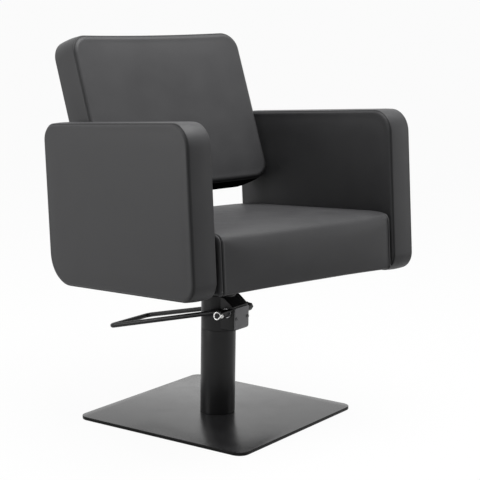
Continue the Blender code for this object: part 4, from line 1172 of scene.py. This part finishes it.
def sewSeam(piece, axis, at, s):  # a drawn-in line with a soft lip on both sides
    cutAll(piece, axis, [at + share * s["width"] for share in s["cuts"]])
    places = coords(piece)
    normals = coords(piece, "normal")
    share = np.abs(places[:, axis] - at) / s["width"]
    lip = s["lip"] * np.exp(-(((share - s["lipAt"]) / s["lipWidth"]) ** 2))
    level = lip - s["depth"] * np.exp(-((share / s["grooveWidth"]) ** 2))
    level[share > s["end"]] = 0
    beside = np.clip((1 - np.abs(normals[:, axis])) / s["facing"], 0, 1)
    setCoords(piece, places + normals * (level * beside)[:, None])
    # painted shade in the seam's groove
    darken(piece, "seamShade", np.exp(-((share / s["shadeWidth"]) ** 2)) * beside)


# a slab is a pad of two panels and a band round them, with its own radius at each corner


def rimOf(slab, places):  # how deep inside the outline each point lies, and the way out from it
    across, up = slab["plane"]
    low = np.array(slab["low"])
    high = np.array(slab["high"])
    middle = (low + high) / 2
    half = (high - low) / 2
    u = places[:, across] - middle[across]
    v = places[:, up] - middle[up]
    radius = np.array(slab["radii"])[(u > 0).astype(int), (v > 0).astype(int)]
    du = np.abs(u) - half[across] + radius
    dv = np.abs(v) - half[up] + radius
    corner = (du > 0) & (dv > 0)
    reach = np.maximum(np.hypot(du, dv), tiny)
    depth = radius - np.where(corner, reach, np.maximum(du, dv))
    outU = np.where(corner, du / reach, du >= dv) * np.sign(u)
    outV = np.where(corner, dv / reach, du < dv) * np.sign(v)
    return depth, outU, outV


def foldsOf(s, side):  # how far from the edge the panel's fold and the band's begin
    panelTurn = math.radians(sewing["panelTurn"])
    bandTurn = math.radians(sewing["bandTurn"])
    sink = s["bandRoll"] * (1 - math.cos(bandTurn))
    roll = s["panelRolls"][side]
    inset = roll * (1 - math.cos(panelTurn))
    return sink + roll * math.sin(panelTurn), inset + s["bandRoll"] * math.sin(bandTurn)


def makeSlab(name, slab, s):
    axis = slab["axis"]
    low = slab["low"]
    high = slab["high"]
    pad = addBox(name, low, high)
    roundCorners(pad, low, high, slab["plane"], slab["radii"], sewing["cornerSteps"])
    for side, facing in ((0, -1), (1, 1)):
        panelReach, bandReach = foldsOf(s, side)
        choose(pad, "polygons", lambda mesh, face: face.normal[axis] * facing > 0.99)
        before = 0
        for step in [panelReach * share for share in sewing["loops"]] + [s["margin"]]:  # closest at the seam
            bpy.ops.mesh.inset(thickness=step - before)
            before = step
        leave()
        cutAll(pad, axis, [(low, high)[side][axis] - facing * bandReach * share for share in sewing["loops"]])
    cutAll(pad, axis, [low[axis] + (high[axis] - low[axis]) * share for share in sewing["bandCuts"]])
    radii = np.array(slab["radii"])
    starts = (radii[0].max(), radii[:, 0].max())
    stops = (radii[1].max(), radii[:, 1].max())
    inside = s["margin"] - sewing["slack"]
    for k, first, last in zip(slab["plane"], starts, stops):
        start = low[k] + first
        stop = high[k] - last
        cutAll(pad, k, np.linspace(start, stop, round((stop - start) / sewing["cell"]) + 1))
        below = np.arange(start, low[k] + s["margin"], -sewing["cell"])[1:]
        above = np.arange(stop, high[k] - s["margin"], sewing["cell"])[1:]
        for at in [*below, *above]:
            depth = rimOf(slab, coords(pad))[0]
            choose(pad, "polygons", lambda mesh, face: min(depth[i] for i in face.vertices) > inside)
            cutAt(k, at)
            leave()
    return pad


def sewSlab(pad, slab, s):  # the panels swell, then panel and band fold into the seams between them
    axis = slab["axis"]
    across, up = slab["plane"]
    low = slab["low"][axis]
    high = slab["high"][axis]
    depth, outU, outV = rimOf(slab, coords(pad))
    swellPad(pad, depth < s["margin"] + sewing["heldPast"], s["swell"])
    places = coords(pad)
    beside = np.minimum(np.abs(places[:, axis] - low), np.abs(high - places[:, axis]))
    side = (places[:, axis] > (low + high) / 2).astype(int)
    inward = 1 - 2 * side
    onPanel = depth > sewing["panelFrom"]
    panelReach, bandReach = np.array([foldsOf(s, 0), foldsOf(s, 1)])[side].T
    roll = np.array(s["panelRolls"])[side]
    panelFold = math.radians(sewing["panelTurn"]) * np.clip(1 - depth / panelReach, 0, 1)
    bandFold = math.radians(sewing["bandTurn"]) * np.clip(1 - beside / bandReach, 0, 1)
    middle = 1 - ((places[:, axis] - (low + high) / 2) / ((high - low) / 2 - bandReach)) ** 2
    newDepth = np.where(
        onPanel,
        np.maximum(depth, panelReach) - roll * np.sin(panelFold),
        s["bandRoll"] * (1 - np.cos(bandFold)) - s["bandSwell"] * np.clip(middle, 0, 1),
    )
    newBeside = np.where(
        onPanel,
        beside + roll * (1 - np.cos(panelFold)),
        np.maximum(beside, bandReach) - s["bandRoll"] * np.sin(bandFold),
    )
    places[:, across] += (depth - newDepth) * outU
    places[:, up] += (depth - newDepth) * outV
    places[:, axis] += (newBeside - beside) * inward
    setCoords(pad, places)
    # painted shade along the seam lines, fading with distance from them
    thread = np.where(onPanel, depth / panelReach * roll, beside / bandReach * s["bandRoll"])
    darken(pad, "seamShade", sewing["shade"] * np.exp(-((thread / sewing["thread"]) ** 2)))
    finer(pad)


def finishPad(piece, fill, *nodes):
    pickOnly(piece)
    bpy.ops.object.shade_smooth()
    finishPiece(piece, blackVinyl, "black_vinyl", "chair", *nodes)


def makeArms(s):
    slab = {
        "axis": 0,
        "plane": (1, 2),
        "low": (s["inner"], s["front"] + s["bandSwell"], s["low"] + s["bandSwell"]),
        "high": (s["outer"] - s["outerRoom"], s["rear"] - s["bandSwell"], s["high"] - s["bandSwell"]),
        "radii": ((s["frontLow"], s["frontTop"]), (s["rearLow"], s["rearTop"])),
    }
    arm = makeSlab("leftArmPad", slab, s)
    sewSlab(arm, slab, s)
    pickOnly(arm)
    bpy.ops.object.duplicate(linked=False)
    other = named(bpy.context.object, "rightArmPad")
    settle(other, Matrix.Scale(-1, 4, (1, 0, 0)))
    chooseAll(other)
    bpy.ops.mesh.normals_make_consistent(inside=False)
    leave()
    for piece, node in ((arm, "left_arm_cover"), (other, "right_arm_cover")):
        settle(piece, tubAxes)
        finishPad(piece, s["fill"], node)


def makeSeat(s):
    room = s["room"]
    low = (-s["half"] + room["side"], s["front"] + room["front"], s["low"])
    high = (s["half"] - room["side"], s["rear"] - room["rear"], s["high"] - room["top"])
    seat = addBox("seatPad", low, high)
    roundEdges(seat, edgeAt(y=low[1], z=high[2]), s["frontTop"], 12)
    roundEdges(seat, edgeAt(y=high[1], z=high[2]), s["rearTop"], 6)
    for y in (low[1], high[1]):
        roundEdges(seat, edgeAt(y=y, z=low[2]), s["hem"], 4)
    for side in (low[0], high[0]):
        roundEdges(seat, edgeAt(x=side), s["edge"], 5)
    fineGrid(seat, s["voxel"])
    rest = coords(seat)
    ahead = np.clip((low[1] + s["noseDepth"] - rest[:, 1]) / s["noseDepth"], 0, 1)
    rest[:, 2] *= 1 - s["nose"] / high[2] * ahead**2
    setCoords(seat, rest)
    inset = high[0] - np.abs(rest[:, 0])
    onRim = (inset > s["sewnFrom"]) & (inset < s["rim"])
    swellPad(seat, onRim | (rest[:, 2] < s["sewnBelow"]), s["swell"])
    finer(seat)
    places = coords(seat)
    over = s["half"] - np.abs(places[:, 0])
    tight = (over < s["tuck"]) & (places[:, 2] < s["tuck"])
    places[:, 0] += np.sign(places[:, 0]) * np.where(tight, over * s["tuckShare"], 0)
    places[:, 0] = np.clip(places[:, 0], -s["half"], s["half"])  # clear of the arms
    places[:, 1] = np.minimum(places[:, 1], s["rear"] + s["rearReach"])
    setCoords(seat, places)
    seam = s["half"] - s["seamInset"]
    for side in (-seam, seam):
        sewSeam(seat, 0, side, seamShape)
    places = coords(seat)
    places[:, 2] = np.maximum(places[:, 2], s["low"])  # flat over the lining
    atFront = np.clip((s["droopStart"] - places[:, 1]) / s["droopFade"], 0, 1)
    hanging = atFront * np.clip(1 - places[:, 2] / s["droopHeight"], 0, 1)
    places[:, 2] -= s["droop"] * hanging * (places[:, 0] / s["half"]) ** 2
    setCoords(seat, places)
    settle(seat, tubAxes)
    finishPad(seat, s["fill"], "seat_cushion")


def bendBack(piece, s):  # the flat pad takes the back's curve, its top rises to the rear
    places = coords(piece)
    share = np.clip(places[:, 2] / s["height"], 0, None) ** s["risePower"]
    rise = s["topRise"] * places[:, 1] / s["thickness"] * share
    places[:, 1] += s["bend"] * (1 - (places[:, 0] / s["half"]) ** 2)
    places[:, 2] += rise
    setCoords(piece, places)
    settle(piece, backAxes)


def makeBack(s, p):
    slab = {
        "axis": 1,
        "plane": (0, 2),
        "low": (-s["half"] + s["bandSwell"], s["frontRoom"], s["bandSwell"] - s["sag"]),
        "high": (s["half"] - s["bandSwell"], s["thickness"], s["height"] - s["bandSwell"]),
        "radii": ((s["corner"], s["corner"]), (s["corner"], s["corner"])),
    }
    back = makeSlab("backPad", slab, s)
    sewSlab(back, slab, s)
    gap = p["gap"]
    recessLow = (-p["half"] - gap, p["front"] - p["floorGap"], p["low"] - gap)
    recessHigh = (p["half"] + gap, s["thickness"] + p["recessReach"], p["high"] + gap)
    recess = addBox("panelRecess", recessLow, recessHigh)
    roundCorners(recess, recessLow, recessHigh, (0, 2), p["corner"] + gap, 12)
    carve(back, recess)
    # painted shade on the back's underside over the seat, dark and without sheen
    downward = -coords(back, "normal")[:, 2] * (coords(back)[:, 2] < s["corner"])
    shaded = np.clip((downward - s["undersideFrom"]) / s["undersideFade"], 0, 1)
    darken(back, "seamShade", s["undersideShade"] * shaded)
    bendBack(back, s)
    finishPad(back, s["fill"], "back_cushion")

    low = (-p["half"], p["front"], p["low"])
    high = (p["half"], p["rear"], p["high"])
    panel = addBox("backRearPanel", low, high)
    roundCorners(panel, low, high, (0, 2), p["corner"], 12)
    roundEdges(panel, edgeAt(y=high[1]), p["edge"], 4)
    fineGrid(panel, p["voxel"])
    swellPad(panel, coords(panel)[:, 1] < p["rear"] - p["loose"], p["swell"], p["pressure"])
    finer(panel)
    bendBack(panel, s)
    finishPad(panel, p["fill"], "back_panel")


makeArms(armPad)
print("arms sewn")
makeSeat(seatPad)
print("seat sewn")
makeBack(backPad, rearPanel)
print("back sewn")

# rubber spacers between the back and the arms

spacer = {
    "radius": 0.014,
    "hole": 0.0043,
    "near": 0.2423,
    "far": 0.2522,
    "depth": 0.0485,
    "levels": (0.026, 0.110),
    "edge": 0.0012,
}


def makeSpacers(s):
    for hand, side in (("right", -1), ("left", 1)):
        for number, level in enumerate(s["levels"], 1):
            piece = addRound(f"{hand}Spacer{number}", s["radius"], s["near"], s["far"], 48, s["edge"])
            carve(piece, addRound("boltHole", s["hole"], 0, 1, 32))
            settle(piece, turned(side * 90, "Y"))
            settle(piece, backAxes @ shifted((0, s["depth"], level)))
            smooth(piece)
            finishPiece(piece, blackRubber, "black_rubber", "chair", f"{hand}_back_spacer_{number}")


makeSpacers(spacer)

# lining stretched under the seat, with a square opening for the bracket

lining = {
    "halfWidth": 0.2410,
    "front": -0.292,
    "rear": 0.187,
    "opening": 0.108,
    "level": -0.0008,
    "thickness": 0.0008,
    "cuts": 5,
}


def makeLining(s):
    pickNone()
    size = (2 * s["halfWidth"], s["rear"] - s["front"], 1)
    bpy.ops.mesh.primitive_plane_add(size=1, location=(0, (s["rear"] + s["front"]) / 2, s["level"]))
    sheet = named(bpy.context.object, "seatLining")
    sheet.scale = size
    applyPlace()
    opening = s["opening"]
    for axis in (0, 1):
        cutAll(sheet, axis, (-opening, opening))
    choose(sheet, "polygons", lambda mesh, face: max(abs(face.center.x), abs(face.center.y)) < opening)
    bpy.ops.mesh.delete(type="FACE")
    leave()
    chooseAll(sheet)
    bpy.ops.mesh.subdivide(number_cuts=s["cuts"])
    leave()
    pickOnly(sheet)
    wall = sheet.modifiers.new("wall", "SOLIDIFY")
    wall.thickness = s["thickness"]
    wall.offset = 0
    bpy.ops.object.modifier_apply(modifier=wall.name)
    settle(sheet, tubAxes)
    smooth(sheet)
    finishPiece(sheet, blackLining, "black_lining", "chair", "dust_cover")


makeLining(lining)
print("spacers and lining made")

print("done")
